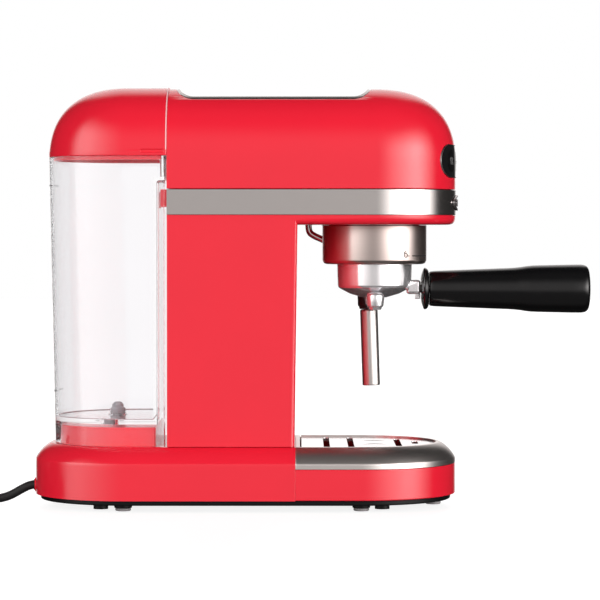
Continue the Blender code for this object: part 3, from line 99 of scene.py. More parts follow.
SCREW_PROFILE = [(0, 4.8), (3.0, 4.8), (3.0, 3.2), (2.2, 2.4), (0, 2.4)]
SCREW_SLOT, SCREW_SLOT_SPAN = (1.9, 0.35), (2.0, 3.4)  # half length and half width
VENTS = 5
VENT_PITCH = 8
VENT_HALF = (17, 1.5)
VENT_SPAN = (0, 20)
RIM_BOTTOM = 31.4
RIM_END = (14, 3.3, BASE_TOP)
RIM_INSIDE = [(14, 3.3, 43.9), (17, 3.3, 43.9), (17, 3.3, 41.8), (9, 3.3, 41.8), (1.5, 3.3, SHOULDER_START),
              (1.5, 3.3, RIM_BOTTOM)]
DRIP_BOTTOM, DRIP_TOP = 9.0, 31.1
DRIP_LEVELS = [(WALL, WALL, DRIP_BOTTOM + WALL), (WALL, WALL, DRIP_TOP), (0, 0, DRIP_TOP),
               (0, 0, DRIP_BOTTOM), (8, 8, DRIP_BOTTOM)]
GRILLE_LEVELS = [(24, 10, 44.2), (14.4, 0, 44.2), (14.4, 0, 45.2), (24, 10, 45.2)]
GRILLE_REAR = 41
SLOTS = [(59.4, 47), (77.1, 47), (111.8, 33.5), (124.4, 12)]  # forward, half length
SLOT_HALF_WIDTH = 2.3
SLOT_SPAN = (43, 47)
SLOT_ROUND = 0.98  # share of the half width that rounds a slot's end
CRESCENT_SIDES = (-16, 16)
CRESCENT_LENGTH, CRESCENT_BOW, CRESCENT_HALF_WIDTH = 9.5, 8, 2.25
CRESCENT_STEPS = 20
END_SLOT = (44, 1.5, 2.0)  # sideways place, half width, half length

# Column and head
COLUMN_REAR = -55.1
COLUMN_BOTTOM = 46.7
COLUMN_FRONT_BOTTOM, COLUMN_FRONT_TOP = 36.1, 38.3
COLUMN_TOP = 211.3
COLUMN_CORNERS = (3, 0.8)
COLUMN_FLUSH = 0.02  # keeps the column's walls off the head's
HEAD_BOTTOM = 205.3
HEAD_EDGE, HEAD_LIP = 5.5, 14  # radius of the rounding, and sides that are long enough for it
HEAD_WALL_TOP = 230.6
HEAD_FLOOR_SPAN = (200, 212)
BAND_BOTTOM, BAND_TOP = 212.1, 230.9
BAND_PROUD = 0.3
BAND_INNER = -0.8
BAND_RECESS = 1.3
CROWN_START, CROWN_TOP = 250, 304.5
CROWN_POWER = 2.45
CROWN_FLAT = 0.1
CROWN_STEPS = 28
LUG_SIDE, LUG_WIDTH, LUG_REACH = 51, 4, -59.6
LUG_SPAN = (218, 230.5)
COVER_BOTTOM, COVER_INSIDE, COVER_EDGE = 231.05, 231.3, 236
COVER_ROOF = 11  # how much lower the arch of the cover's hollow is
CROWN_EDGE = 0.5  # inset of the flat ends in the top's middle

# Cup tray, panel, buttons and badge
TRAY_SHEET = 1.8
TRAY_UNDERSIDE = 296.0
TRAY_CURL = 15
TRAY_CURL_DEGREES = 60
TRAY_CURL_STEPS = 20
TRAY_FLAT = (-36.5, 78)
TRAY_HALF, SADDLE_HALF = 58, 64
PANEL_Z = 251.6
PANEL_HALF = (37, 11.9)
PANEL_BACK, PANEL_AHEAD = 110, 160
PANEL_TRIM, TRIM_OVERLAP = 0.4, 0.05
PANEL_INSIDE_BOTTOM = 228
PANEL_PROUD, PANEL_DEPTH = 0.4, 1.7
TRIM_PROUD, TRIM_DEPTH = 0.55, 1.2
BUTTON_RADIUS, BUTTON_GAP, BUTTON_PROUD = 7.5, 0.3, 0.5
BUTTON_FROM, BUTTON_HOLE_FROM, BUTTON_TO = 54, 50, 70  # distances from the nose's axis
ICON_REACH, ICON_LINE = 60.5, 0.15
BUTTON_DEGREES = {"steam_button": -21.5, "brew_button": 0.0, "power_button": 21.5}
BADGE_Z = 221.5
BADGE_OVAL, BADGE_OPENING, BADGE_EMBLEM = (20, 5.7), (18.8, 4.6), (11, 2.7)  # half width and half height
BADGE_SEAT, BADGE_FACE, BADGE_PROUD = 0.6, 1.0, 1.9  # heights above the nose
BADGE_FACE_HALF = (30, 8)
DISH_PROUD, EMBLEM_PROUD = 5, 6  # past all that they cut
BADGE_STUD, BADGE_STUD_HEAD, BADGE_STUD_REACH = 1.5, 0.8, 4.5
STUD_HOLE, STUD_HOLE_SPAN = 1.8, (144, 156)

# Group and portafilter
GROUP_FORWARD = 94.7
COLLAR_RADIUS = 38.2
COLLAR_PROFILE = [(COLLAR_RADIUS, 205.0), (COLLAR_RADIUS, 179.2), (37.0, 177.2), (35.2, 176.6), (31.0, 176.6),
                  (31.0, 178.2), (36.4, 178.2), (36.4, 205.0)]
GROUP_HOLE = 33.4
BOWL_PROFILE = [(27.6, 185.2), (27.6, 176.0), (27.4, 168.0), (27.1, 160.9), (26.5, 159.4), (24.0, 157.9),
                (18.0, 154.8), (9.0, 152.2), (2.9, 151.5), (2.9, 154.6), (9.0, 155.2), (18.5, 158.6),
                (24.6, 163.6), (25.8, 167.0), (25.8, 174.0), (26.7, 174.0), (26.7, 175.7), (25.8, 175.7),
                (25.8, 185.2)]
EAR_REACH = (26.6, 32.3)
EAR_SPAN = (182.3, 184.9)
EAR_HALF_ANGLE = 22
NECK_HALF, NECK_FORWARD, NECK_SPAN = 8, (118, 128.4), (154.6, 165)
RIB_HALF, RIB_FORWARD, RIB_SPAN = 2.5, (124.5, 128.1), (151, 156.6)
HANDLE_Z = 158.5
FLANGE_PROFILE = [(3.2, 134.5), (12.6, 134.5), (13.9, 134.0), (14.9, 133.0), (15.4, 131.9), (15.2, 131.2),
                  (14.2, 130.5), (11.5, 129.5), (8.5, 128.8), (3.2, 128.8)]
GRIP_PROFILE = [(0, 252.4), (4.0, 252.5), (10.9, 252.5), (14.8, 251.9), (16.6, 250.6), (17.5, 248.6),
                (17.75, 246.0), (17.65, 238.0), (17.2, 216.0), (17.0, 210.5), (16.6, 206.5), (15.9, 202.0),
                (15.4, 197.5), (15.1, 192.0), (14.4, 173.0), (13.7, 155.0), (13.0, 138.0), (12.5, 134.9),
                (3.2, 134.9), (3.2, 216.0), (0, 216.0)]
SPOUT_SIDE = 25
SPOUT_CAP = [(0, 156.5), (4.3, 156.3), (5.6, 155.6), (6.3, 154.2), (6.5, 152.0), (6.3, 149.4), (5.9, 146.2),
             (4.9, 145.7), (4.5, 144.6), (4.3, 143.7), (3.1, 143.7), (3.0, 150.0), (0, 150.0)]
SPOUT_Z, SPOUT_RADIUS = 147.5, 3.4
STUB_RADIUS, STUB_TOP = 2.55, 154.4
BOLT_HOLE, BOLT_HOLE_SPAN = 3.2, (122.7, 131)
LOCK_DEGREES, LOCK_Z = 35, 183.2
LOCK_LINE_DEGREES, LOCK_LINE_Z = (44, 75), 182.8
LOCK_DOT_DEGREES = (38.4, 39.6)
LOCK_STROKE = 0.36

# Steam wand and knob
WAND_SIDE, WAND_FORWARD, WAND_HOLE = 48, 46.5, 3.4
WAND_ROUTE = [(46.5, 216.0), (46.5, 209.0), (46.5, 203.6), (47.6, 199.6), (51.2, 197.0), (56.6, 194.6),
              (65.5, 190.2), (74.5, 185.4), (82.5, 180.6), (88.0, 174.6), (90.6, 167.6), (91.35, 158.0),
              (92.7, 117.4)]
WAND_TILT = radians(1.9)
WAND_FOOT = (93.7, 84.8)
WAND_PIPE_RADIUS = 2.5
HOLD_PROFILE = [(3.0, 80.6), (6.4, 80.6), (7.5, 79.6), (8.0, 77.8), (8.15, 75.4), (8.15, 60.6), (7.9, 59.8),
                (7.2, 59.4), (7.0, 57.6), (3.0, 57.6)]
SLEEVE_PROFILE = [(3.1, 57.3), (5.6, 57.3), (6.4, 56.9), (6.65, 56.2), (6.65, 0.6), (6.4, 0.1), (6.1, 0),
                  (5.8, 0.1), (5.7, 0.5), (5.7, 53.8), (3.1, 53.8)]
TIP_PROFILE = [(0, 32.0), (2.7, 32.0), (2.7, 25.0), (2.5, 23.6), (1.9, 22.6), (1.0, 22.5), (1.0, 30.5),
               (0, 30.5)]
KNOB_FORWARD, KNOB_Z = 60, 221.5
KNOB_PROFILE = [(0, 69.4), (9.8, 69.5), (12.0, 70.0), (14.0, 69.9), (15.6, 69.2), (16.4, 67.8), (16.8, 61.0),
                (3.3, 61.0), (3.3, 68.0), (0, 68.0)]
KNOB_FLUTES = 24
KNOB_FLUTE = (1.1, 17.15)  # radius, and its circle's radius
KNOB_FLUTE_SPAN = (62.2, 72)
POINTER_SIDE, POINTER_START, POINTER_LENGTH, POINTER_LINE = 69.95, 9.8, 4.6, 0.45
STEM_HOLE, STEM_HOLE_SPAN = 3.4, (50, 62)

# Water tank and lid
TANK_HALF_WIDTH = 59.7
TANK_SPAN = (46.8, 254.4)
TANK_DRAFT = 4.3
TANK_FRONT, TANK_CORNER = -56.3, 1.2
TANK_LIP_START, TANK_LIP = 20, 1.25
TANK_FLOOR = (62.5, 66)
TANK_RECESS_FRONT = -62.5
TANK_RECESS_TOP = 237
TANK_FLANGE = 3
TANK_WALL = 2.5
VALVE_HOLE = (4.6, 46, 70)  # radius, bottom, top
TANK_MARK_LINE = 0.3
FLOOR_EDGE_INSET, FLOOR_EDGE_RISE = 0.3, 0.2
COUPLING_FORWARD = -94
COUPLING_PROFILE = [(7.5, 64.0), (7.5, 57.4), (7.1, 57.0), (4.6, 57.0), (4.6, 66.3), (5.0, 66.6), (6.6, 66.6),
                    (7.0, 66.2), (7.0, 64.0)]
TANK_VALVE_PROFILE = [(0, 75.5), (1.8, 75.5), (2.9, 75.1), (3.4, 74.2), (4.2, 73.6), (4.2, 71.6), (5.4, 70.9),
                      (5.6, 70.2), (5.6, 66.8), (4.2, 66.4), (4.2, 60.4), (0, 60.4)]
SOCKET_PROFILE = [(0, 60.0), (1.5, 60.0), (1.5, 52.5), (7.9, 52.5), (7.9, 59.6), (8.6, 59.6), (8.6, 50.0),
                  (3.0, 50.0), (3.0, 41.6), (0, 41.6)]
LEVEL_MARKS = [(234, 15), (84, 15)]  # height, half width
LID_FRONT = -55.2
LID_EDGE = (0.5, 3.2)  # depth of the rounding at the front edge, and how many times longer it is
LID_TOP = 305.3
LID_BOTTOM, LID_SHELF = 254.7, 258
LID_SKIRT = [(2.5, 2.5, LID_SHELF), (2.5, 2.5, 257.2), (5.4, 5.9, 257.2), (5.4, 5.9, 251.8),
             (3.4, 3.9, 251.8), (3.4, 3.9, LID_BOTTOM), (0, 0, LID_BOTTOM), (0, 0, LID_SHELF)]
# Pale strand of painted highlight along the lid's front edge: how far behind the front it runs, its radius, its
# inset from the crown and its lowest height
SEAM_BACK, SEAM_RADIUS, SEAM_INSET, SEAM_BOTTOM = 0.5, 0.5, 0.2, 257
FINGER_RECESS = (-65.5, 8.5, 258.0, 1.4)  # forward, half length, z, half height
FINGER_RECESS_DEPTH = 1.1

# Mains cord: (sideways, forward, height) of the route's own points
CORD_DIAMETER = 6.3
CORD_ROUTE = [(0, -157.0, 14.1), (0, -160.5, 13.1), (0.1, -166.0, 10.3), (0.4, -172.5, 6.7),
              (1.0, -180.0, 4.2), (2.4, -190.0, 3.2), (5.4, -202.0, 3.2), (6.1, -204.8, 3.2)]
CORD_START = -155.9
CORD_ENTRY = (9.6, -219.0, 3.2)
COIL_LEAVE = (-9.5, -199.7, 9.7)
TAIL_ROUTE = [(2.6, -201.4, 10.0), (10.0, -202.6, 10.0), (19.0, -204.6, 10.4), (30.0, -209.0, 12.0),
              (38.0, -217.0, 14.6), (42.4, -228.0, 16.9), (44.0, -240.0, 18.2), (44.2, -246.0, 18.5)]
COIL_CENTRE = (-27.3, -237.2)
COIL_RADIUS = 33
COIL_TURNS = 4
COIL_RISE = 70  # degrees over which the cord climbs to the upper layer
COIL_EXIT = -82
COIL_SAMPLES = 36  # points in each turn
COIL_CLEARANCE = 0.05
PLUG_PLACE = (44.2, -246.4, 18.6)
PLUG_PROFILE = [(0, 46.0), (14.8, 46.0), (16.8, 45.6), (17.9, 44.6), (18.2, 43.0), (18.2, 31.0), (17.6, 28.6),
                (15.5, 26.0), (11.6, 23.4), (8.6, 21.0), (7.2, 18.4), (6.2, 14.0), (5.6, 7.0), (5.0, 0),
                (0, 0)]
PLUG_RINGS = [3.5, 6.7, 9.9, 13.1]
PLUG_GROOVE = (4.9, 8.0, 0.6)  # inner and outer radius, half width
PIN_PROFILE = [(0, 19.0), (1.2, 18.8), (2.0, 18.0), (2.4, 16.6), (2.4, 0), (0, 0)]
PIN_SIDES = (-9.5, 9.5)
PIN_ROOT = 46.3
BUSHING_PROFILE = [(3.45, 155.9), (3.9, 155.9), (4.0, 148.0), (5.6, 147.6), (5.6, 146.0), (4.6, 144.0),
                   (3.9, 134.0), (3.45, 134.0)]
BEZEL_PROFILE = [(0, 155.0), (4.9, 155.0), (5.3, 154.6), (5.3, 149.0), (0, 149.0)]
CORD_EXIT_Z = 14.3
CORD_HOLE, CORD_HOLE_SPAN = 4.3, (-157, -140)


def y_at(forward):
    return (BASE_MIDDLE - forward) * MM


def spot(sideways, forward, z):
    """A point given in millimetres as sideways, forward and height."""
    return Vector((sideways * MM, y_at(forward), z * MM))


# ---- camera and studio

CAMERA_PLACE = (-1.9845, 0.00875, 0.200)
CAMERA_DOWN = 1.44
CAMERA_LENS = 162
CAMERA_REACH = 50
SENSOR = 36
ROOM_LIGHT = 0.60  # brightness of the room on the camera's side
DARK_LIGHT = 0.03  # and of the black flags and the ceiling
BACKDROP_LIGHT = 1.15
# Brightness of each softbox at angles from -X, round the front or the rear of the machine
FRONT_SOFTBOX = [(6, 0.0), (16, 1.1), (30, 3.4), (40, 4.8), (57, 7.6), (66, 7.0), (73, 5.0), (80, 3.0),
                 (88, 1.4), (97, 0.0)]
REAR_SOFTBOX = [(10, 0.0), (30, 0.9), (48, 2.0), (62, 2.9), (78, 2.7), (90, 0.3), (97, 0.0)]
SOFTBOX_PEAK = 9
# Where each fade starts and ends, as the X, Y or Z of a direction
FRONT_TOP, REAR_TOP = (0.0, 0.66), (0.40, 0.84)
SOFTBOX_BOTTOM = (-0.38, 0.22)
ROOM_EDGE = (-0.35, 0.15)
ROOM_TOP, ROOM_CEILING = (0.32, 0.85), 0.1  # and the share of the room's light beyond it
ROOM_BOTTOM, ROOM_FLOOR = (-0.35, -0.02), 0.2
BACKDROP_EDGE = (0.5, 0.8)
BACKDROP_HALF_WIDTH = (0.20, 0.42)
BACKDROP_BOTTOM = (-0.20, -0.04)
STUDIO_TINT = (1, 0.965, 0.95)
FILL_SIZE = 2.0
FILLS = {"back_fill": ((2.1, 0, 0.2), 2.0), "front_fill": ((-1.6, -2.0, 0.1), 0.9),
         "rear_fill": ((-1.6, 2.0, 0.1), 0.9)}  # place, brightness
FLOOR_SIZE = 12
FLOOR_COLOUR, FLOOR_ROUGHNESS = (0.30, 0.30, 0.30), 0.55
FLOOR_GLOW = 0.86


def add_object(name, data):
    thing = bpy.data.objects.new(name, data)
    bpy.context.scene.collection.objects.link(thing)
    return thing


def make_camera():
    data = bpy.data.cameras.new("camera")
    data.lens = CAMERA_LENS
    data.sensor_width = SENSOR
    data.clip_end = CAMERA_REACH
    camera = add_object("camera", data)
    camera.location = CAMERA_PLACE
    camera.rotation_euler = (radians(90 - CAMERA_DOWN), 0, radians(-90))
    bpy.context.scene.camera = camera
    bpy.context.scene.view_settings.view_transform = "Standard"
    bpy.context.scene.cycles.use_denoising = True


def add_node(tree, kind, inputs, **settings):
    """The outputs of a new shader node, whose inputs are values or the outputs of other nodes."""
    node = tree.nodes.new("ShaderNode" + kind)
    for setting, value in settings.items():
        setattr(node, setting, value)
    for socket, value in inputs.items():
        if isinstance(value, bpy.types.NodeSocket):
            tree.links.new(value, node.inputs[socket])
        else:
            node.inputs[socket].default_value = value
    return node.outputs


def fade(tree, source, low, high, start, end, kind="LINEAR"):
    """A value that runs from start to end while the source runs from low to high."""
    inputs = {0: source, 1: low, 2: high, 3: start, 4: end}
    return add_node(tree, "MapRange", inputs, interpolation_type=kind)[0]


def make_world():
    """Studio round the machine: two softboxes, black flags between them, and a white backdrop behind."""
    world = bpy.data.worlds.new("studio")
    bpy.context.scene.world = world
    world.use_nodes = True
    tree = world.node_tree
    tree.nodes.clear()

    def combine(operation, *values):
        return add_node(tree, "Math", dict(enumerate(values)), operation=operation)[0]

    def times(first, *more):
        for value in more:
            first = combine("MULTIPLY", first, value)
        return first

    def smooth(source, edges, start, end):
        return fade(tree, source, *edges, start, end, "SMOOTHSTEP")

    direction = add_node(tree, "TexCoord", {})["Generated"]
    x, y, z = add_node(tree, "SeparateXYZ", {0: direction})
    turn = fade(tree, combine("ARCTAN2", y, x), -pi, pi, 0, 1)

    def softbox(stops, top):
        ramp = tree.nodes.new("ShaderNodeValToRGB")
        tree.links.new(turn, ramp.inputs[0])
        elements = ramp.color_ramp.elements
        elements.remove(elements[0])
        elements[0].position = stops[0][0]
        for i, (position, level) in enumerate(stops):
            stop = elements.new(position) if i else elements[0]
            stop.color = (*[level / SOFTBOX_PEAK] * 3, 1)
        return times(ramp.outputs[0], SOFTBOX_PEAK, smooth(z, SOFTBOX_BOTTOM, 0, 1), smooth(z, top, 1, 0))

    room = times(smooth(x, ROOM_EDGE, ROOM_LIGHT, 0), smooth(z, ROOM_TOP, 1, ROOM_CEILING),
                 smooth(z, ROOM_BOTTOM, ROOM_FLOOR, 1))
    backdrop = times(smooth(combine("ABSOLUTE", y), BACKDROP_HALF_WIDTH, BACKDROP_LIGHT, 0),
                     smooth(x, BACKDROP_EDGE, 0, 1), smooth(z, BACKDROP_BOTTOM, 0, 1))
    backdrop = combine("ADD", backdrop, DARK_LIGHT)
    front = softbox([(degrees / 360, level) for degrees, level in FRONT_SOFTBOX], FRONT_TOP)
    rear = softbox([(1 - degrees / 360, level) for degrees, level in reversed(REAR_SOFTBOX)], REAR_TOP)
    total = combine("ADD", combine("ADD", room, backdrop), combine("ADD", front, rear))
    studio = add_node(tree, "Background", {"Color": (*STUDIO_TINT, 1), "Strength": total})[0]
    seen = add_node(tree, "Background", {"Color": (1, 1, 1, 1)})[0]
    ray = add_node(tree, "LightPath", {})
    straight = combine("MAXIMUM", ray["Is Camera Ray"], ray["Is Transmission Ray"])
    mixed = add_node(tree, "MixShader", {0: straight, 1: studio, 2: seen})[0]
    add_node(tree, "OutputWorld", {"Surface": mixed})


def make_lights():
    """Soft fills beyond the machine and at both ends of it, which don't show in the gloss."""
    for name, (place, brightness) in FILLS.items():
        data = bpy.data.lights.new(name, "AREA")
        data.size = FILL_SIZE
        data.energy = brightness * pi * FILL_SIZE ** 2
        light = add_object(name, data)
        light.location = place
        light.rotation_euler = (-Vector(place)).to_track_quat("-Z", "Y").to_euler()
        light.visible_camera = light.visible_glossy = light.visible_transmission = False


def make_floor():
    """White floor with a faint shadow; the machine sees the studio's dim floor instead."""
    shape = bmesh.new()
    bmesh.ops.create_grid(shape, x_segments=1, y_segments=1, size=FLOOR_SIZE / 2)
    mesh = bpy.data.meshes.new("floor")
    shape.to_mesh(mesh)
    shape.free()
    floor = add_object("floor", mesh)
    finish = surface("floor", FLOOR_COLOUR, FLOOR_ROUGHNESS, tint=0.01, tint_scale=3, smear=0.05, bump=0.0)
    shader = finish.node_tree.nodes["Principled BSDF"]
    shader.inputs["Emission Color"].default_value = (1, 1, 1, 1)
    shader.inputs["Emission Strength"].default_value = FLOOR_GLOW
    mesh.materials.append(finish)
    floor.visible_glossy = floor.visible_diffuse = floor.visible_transmission = False


# ---- finishes

NOISE_RANGE = (0.3, 0.7)  # of a noise texture, which is spread over a finish's own range


def surface(name, colour, roughness, metallic=0.0, tint=0.03, tint_scale=22, smear=0.04, smear_scale=160,
            bump=0.03, bump_scale=900, bump_depth=0.05, stretch=(1, 1, 1), detail=3, **sockets):
    """Procedural finish: a faint uneven tint, uneven roughness and a fine relief, with constant sockets."""
    made = bpy.data.materials.new(name)
    made.use_nodes = True
    tree = made.node_tree
    shader = tree.nodes["Principled BSDF"]
    place = add_node(tree, "TexCoord", {})["Object"]
    place = add_node(tree, "Mapping", {"Vector": place, "Scale": stretch})[0]

    def noise(scale):
        return add_node(tree, "TexNoise", {"Vector": place, "Scale": scale, "Detail": detail})["Fac"]

    def spread(scale, low, high):
        return fade(tree, noise(scale), *NOISE_RANGE, low, high)

    level = spread(tint_scale, 1 - tint, 1 + tint)
    tone = add_node(tree, "CombineColor", {0: level, 1: level, 2: level})[0]
    tinted = add_node(tree, "Mix", {"Factor": 1.0, 6: (*colour, 1), 7: tone}, data_type="RGBA",
                      blend_type="MULTIPLY")[2]
    uneven = spread(smear_scale, max(roughness - smear, 0.0), roughness + smear)
    tree.links.new(tinted, shader.inputs["Base Color"])
    tree.links.new(uneven, shader.inputs["Roughness"])
    if bump:
        relief = add_node(tree, "Bump", {"Strength": bump, "Distance": bump_depth * MM,
                                         "Height": noise(bump_scale)})[0]
        tree.links.new(relief, shader.inputs["Normal"])
    for socket, value in {"Metallic": metallic, **sockets}.items():
        shader.inputs[socket.replace("_", " ")].default_value = value
    return made


def board_finish():
    """Green board with copper tracks under the lacquer."""
    made = surface("circuit_board", (0.02, 0.20, 0.07), 0.45, bump=0.1, bump_scale=500)
    tree = made.node_tree
    place = add_node(tree, "TexCoord", {})["Object"]
    turned_over = add_node(tree, "Mapping", {"Vector": place, "Rotation": (pi / 2, 0, 0)})[0]
    tracks = add_node(tree, "TexBrick", {"Vector": turned_over, "Scale": 130, "Mortar Size": 0.06,
                                         "Color1": (0.02, 0.16, 0.06, 1), "Color2": (0.02, 0.20, 0.07, 1),
                                         "Mortar": (0.06, 0.34, 0.12, 1)})
    tree.links.new(tracks["Color"], tree.nodes["Principled BSDF"].inputs["Base Color"])
    return made


# A metal's streaks run level round the machine
BRUSHED = {"metallic": 1.0, "tint": 0.02, "tint_scale": 120, "smear_scale": 120, "bump_scale": 120,
           "stretch": (1, 1, 40), "detail": 6}
FINISHES = {
    "red_plastic": surface("red_plastic", (0.84, 0.014, 0.036), 0.16, tint=0.015, smear=0.03, bump=0.012,
                           bump_scale=260, IOR=1.58),
    "black_plastic": surface("black_plastic", (0.004, 0.004, 0.0045), 0.18, smear=0.04, bump=0.03,
                             bump_scale=500),
    "black_rubber": surface("black_rubber", (0.012, 0.012, 0.013), 0.55, smear=0.08, bump=0.25,
                            bump_scale=1400),
    "grey_rubber": surface("grey_rubber", (0.34, 0.32, 0.33), 0.6, smear=0.1, bump=0.25, bump_scale=1200),
    "grey_plastic": surface("grey_plastic", (0.36, 0.35, 0.38), 0.4, bump=0.08, bump_scale=800),
    "clear_plastic": surface("clear_plastic", (0.985, 0.975, 0.985), 0.01, tint=0.005, smear=0.01,
                             bump=0.0, IOR=1.45, Transmission_Weight=1.0, Alpha=0.95),
    "brushed_steel": surface("brushed_steel", (0.60, 0.565, 0.55), 0.21, smear=0.03, bump_depth=0.03,
                             **BRUSHED),
    "polished_steel": surface("polished_steel", (0.84, 0.83, 0.84), 0.11, 1.0, tint=0.02, smear=0.03,
                              bump=0.02, bump_scale=200),
    "aluminium": surface("aluminium", (0.66, 0.67, 0.68), 0.42, 1.0, bump=0.2, bump_scale=700),
    "brass": surface("brass", (0.66, 0.48, 0.22), 0.3, 1.0, tint=0.08, bump=0.06),
    "copper": surface("copper", (0.72, 0.38, 0.24), 0.33, 1.0, tint=0.10, bump=0.06),
    "silicone": surface("silicone", (0.80, 0.82, 0.82), 0.45, bump=0.1, Transmission_Weight=0.3),
    "circuit_board": board_finish(),
}
MATT_BLACK = surface("matt_black", (0.004, 0.004, 0.0045), 0.45, bump=0.15, bump_scale=900,
                     Specular_IOR_Level=0.2)
SATIN_STEEL = surface("satin_steel", (0.66, 0.62, 0.60), 0.30, 1.0, tint=0.02, smear=0.01, bump=0.005)
BRIGHT_STEEL = surface("bright_steel", (0.95, 0.94, 0.96), 0.17, 0.82, tint=0.02, smear=0.01, bump=0.005)
RIM_STEEL = surface("rim_steel", (0.70, 0.655, 0.635), 0.32, smear=0.02, bump=0.01, **BRUSHED)
WARM_STEEL = surface("warm_steel", (0.56, 0.475, 0.445), 0.30, smear=0.01, bump=0.001, bump_depth=0.03,
                     **BRUSHED)
PRINT_WHITE = surface("print_white", (0.28, 0.28, 0.28), 0.5, bump=0.1, bump_scale=2500)
PRINT_DARK = surface("print_dark", (0.03, 0.03, 0.032), 0.5, bump=0.1, bump_scale=2500,
                     Specular_IOR_Level=0.1)
PANEL_GLOSS = surface("panel_gloss", (0.008, 0.008, 0.009), 0.06, smear=0.02, bump=0.004, bump_scale=90,
                      Coat_Weight=0.5, Coat_Roughness=0.03)
SATIN_TRIM = surface("satin_trim", (0.42, 0.38, 0.38), 0.3, 1.0, bump=0.05)
BADGE_STEEL = surface("badge_steel", (0.60, 0.57, 0.57), 0.34, 1.0, bump=0.03)
TRAY_STEEL = surface("tray_steel", (0.46, 0.43, 0.42), 0.22, 1.0, tint=0.02, smear=0.03, bump=0.02)
# Mauve-grey of the line round the tank's inner floor edge is painted shade, standing in for the darkening where
# light bends at the clear floor's edge
PAINTED_FLOOR_SHADE = surface("painted_floor_shade", (0.50, 0.38, 0.41), 0.4, bump=0.05)
# Pale pink of the strand at the lid's front edge is a painted highlight, in place of the light that the rounded
# edge catches
SEAM_PAINTED_HIGHLIGHT = surface("seam_painted_highlight", (0.93, 0.52, 0.54), 0.35, bump=0.05)


# ---- mesh helpers

def shade(mesh, sharp_angle=SHARP_ANGLE):
    mesh.shade_smooth()
    mesh.set_sharp_from_angle(angle=radians(sharp_angle))


def coat(thing, finish):
    """Give a piece one finish, whatever it had before."""
    thing.data.materials.clear()
    thing.data.materials.append(finish)
    for polygon in getattr(thing.data, "polygons", []):
        polygon.material_index = 0


def as_object(name, shape):
    bmesh.ops.remove_doubles(shape, verts=shape.verts, dist=WELD_DISTANCE * MM)
    bmesh.ops.recalc_face_normals(shape, faces=shape.faces)
    mesh = bpy.data.meshes.new(name)
    shape.to_mesh(mesh)
    shape.free()
    shade(mesh)
    return add_object(name, mesh)


def settle(thing, sharp_angle=SHARP_ANGLE):
    """Apply a piece's modifiers and shade it again."""
    bpy.context.view_layer.update()
    graph = bpy.context.evaluated_depsgraph_get()
    made = bpy.data.meshes.new_from_object(thing.evaluated_get(graph))
    thing.modifiers.clear()
    old, thing.data = thing.data, made
    made.name = thing.name
    bpy.data.meshes.remove(old)
    shade(made, sharp_angle)
    return thing


def carve(target, *tools, operation="DIFFERENCE"):
    """Cut tools out of a piece, join them to it or keep what lies inside them, and remove the tools."""
    for tool in tools:
        step = target.modifiers.new("carve", "BOOLEAN")
        step.operation = operation
        step.solver = "EXACT"
        step.object = tool
        settle(target)
        bpy.data.objects.remove(tool, do_unlink=True)
    return target


def unite(target, *tools):
    return carve(target, *tools, operation="UNION")


def keep_inside(target, *tools):
    return carve(target, *tools, operation="INTERSECT")


def round_off(thing, width, segments=2):
    """Round every sharp edge, and let flat faces keep flat shading."""
    bevel = thing.modifiers.new("edges", "BEVEL")
    bevel.width = width * MM
    bevel.segments = segments
    bevel.limit_method = "ANGLE"
    bevel.angle_limit = radians(BEVEL_ANGLE)
    bevel.use_clamp_overlap = True
    settle(thing, BEVELLED_SHARP_ANGLE)
    return even_out(thing)


def even_out(thing):
    weigh = thing.modifiers.new("shade", "WEIGHTED_NORMAL")
    weigh.keep_sharp = True
    return thing


def soften(points, radius, steps=4, closed=False):
    """Round the corners of a line of points in two or three dimensions."""
    line = [Vector(p) for p in points]
    made = []
    for i, point in enumerate(line):
        before, after = line[i - 1] - point, line[(i + 1) % len(line)] - point
        if not closed and i in (0, len(line) - 1) or before.angle(after) > radians(FLAT_CORNER):
            made.append(tuple(point))
            continue
        start = point + before.normalized() * min(radius, CORNER_SHARE * before.length)
        end = point + after.normalized() * min(radius, CORNER_SHARE * after.length)
        for step in range(steps + 1):
            t = step / steps
            made.append(tuple((1 - t) ** 2 * start + 2 * t * (1 - t) * point + t * t * end))
    return made


def ring(z, half_width, front, rear, front_corner=None, rear_corner=None):
    """Plan outline anticlockwise from above: an end without a corner radius is a half circle, or else flat."""
    points = []
    for out, station, corner in ((-1, front, front_corner), (1, rear, rear_corner)):
        radius = half_width if corner is None else min(corner, half_width)
        first = pi if out < 0 else 0.0
        middle = station + out * radius
        for quarter, side in ((0, out), (1, -out)):
            middle_x = side * (half_width - radius)
            for step in range(QUARTER_STEPS + 1):
                angle = first + (quarter + step / QUARTER_STEPS) * pi / 2
                points.append(spot(middle_x + radius * cos(angle), middle - radius * sin(angle), z))
    return points


def rings(levels, plan, front=None, rear=None, corner=0.8):
    """Outlines of a plan shape at each level, with round ends or flat ones at a station."""
    made = []
    for inset, flat, z in levels:
        front_end, front_corner = (plan.front - inset, None) if front is None else (front - flat, corner)
        rear_end, rear_corner = (plan.rear + inset, None) if rear is None else (rear + flat, corner)
        made.append(ring(z, plan.half_width - inset, front_end, rear_end, front_corner, rear_corner))
    return made


def loft(name, rows, loop=False):
    """Skin through outlines of equal length: capped at both ends, or closed into a loop."""
    shape = bmesh.new()
    rows = [[shape.verts.new(point) for point in row] for row in rows]
    if loop:
        rows.append(rows[0])
    for low, high in zip(rows, rows[1:]):
        for i, corner in enumerate(low):
            after = (i + 1) % len(low)
            shape.faces.new((corner, low[after], high[after], high[i]))
    if not loop:
        shape.faces.new(list(reversed(rows[0])))
        shape.faces.new(rows[-1])
    return as_object(name, shape)


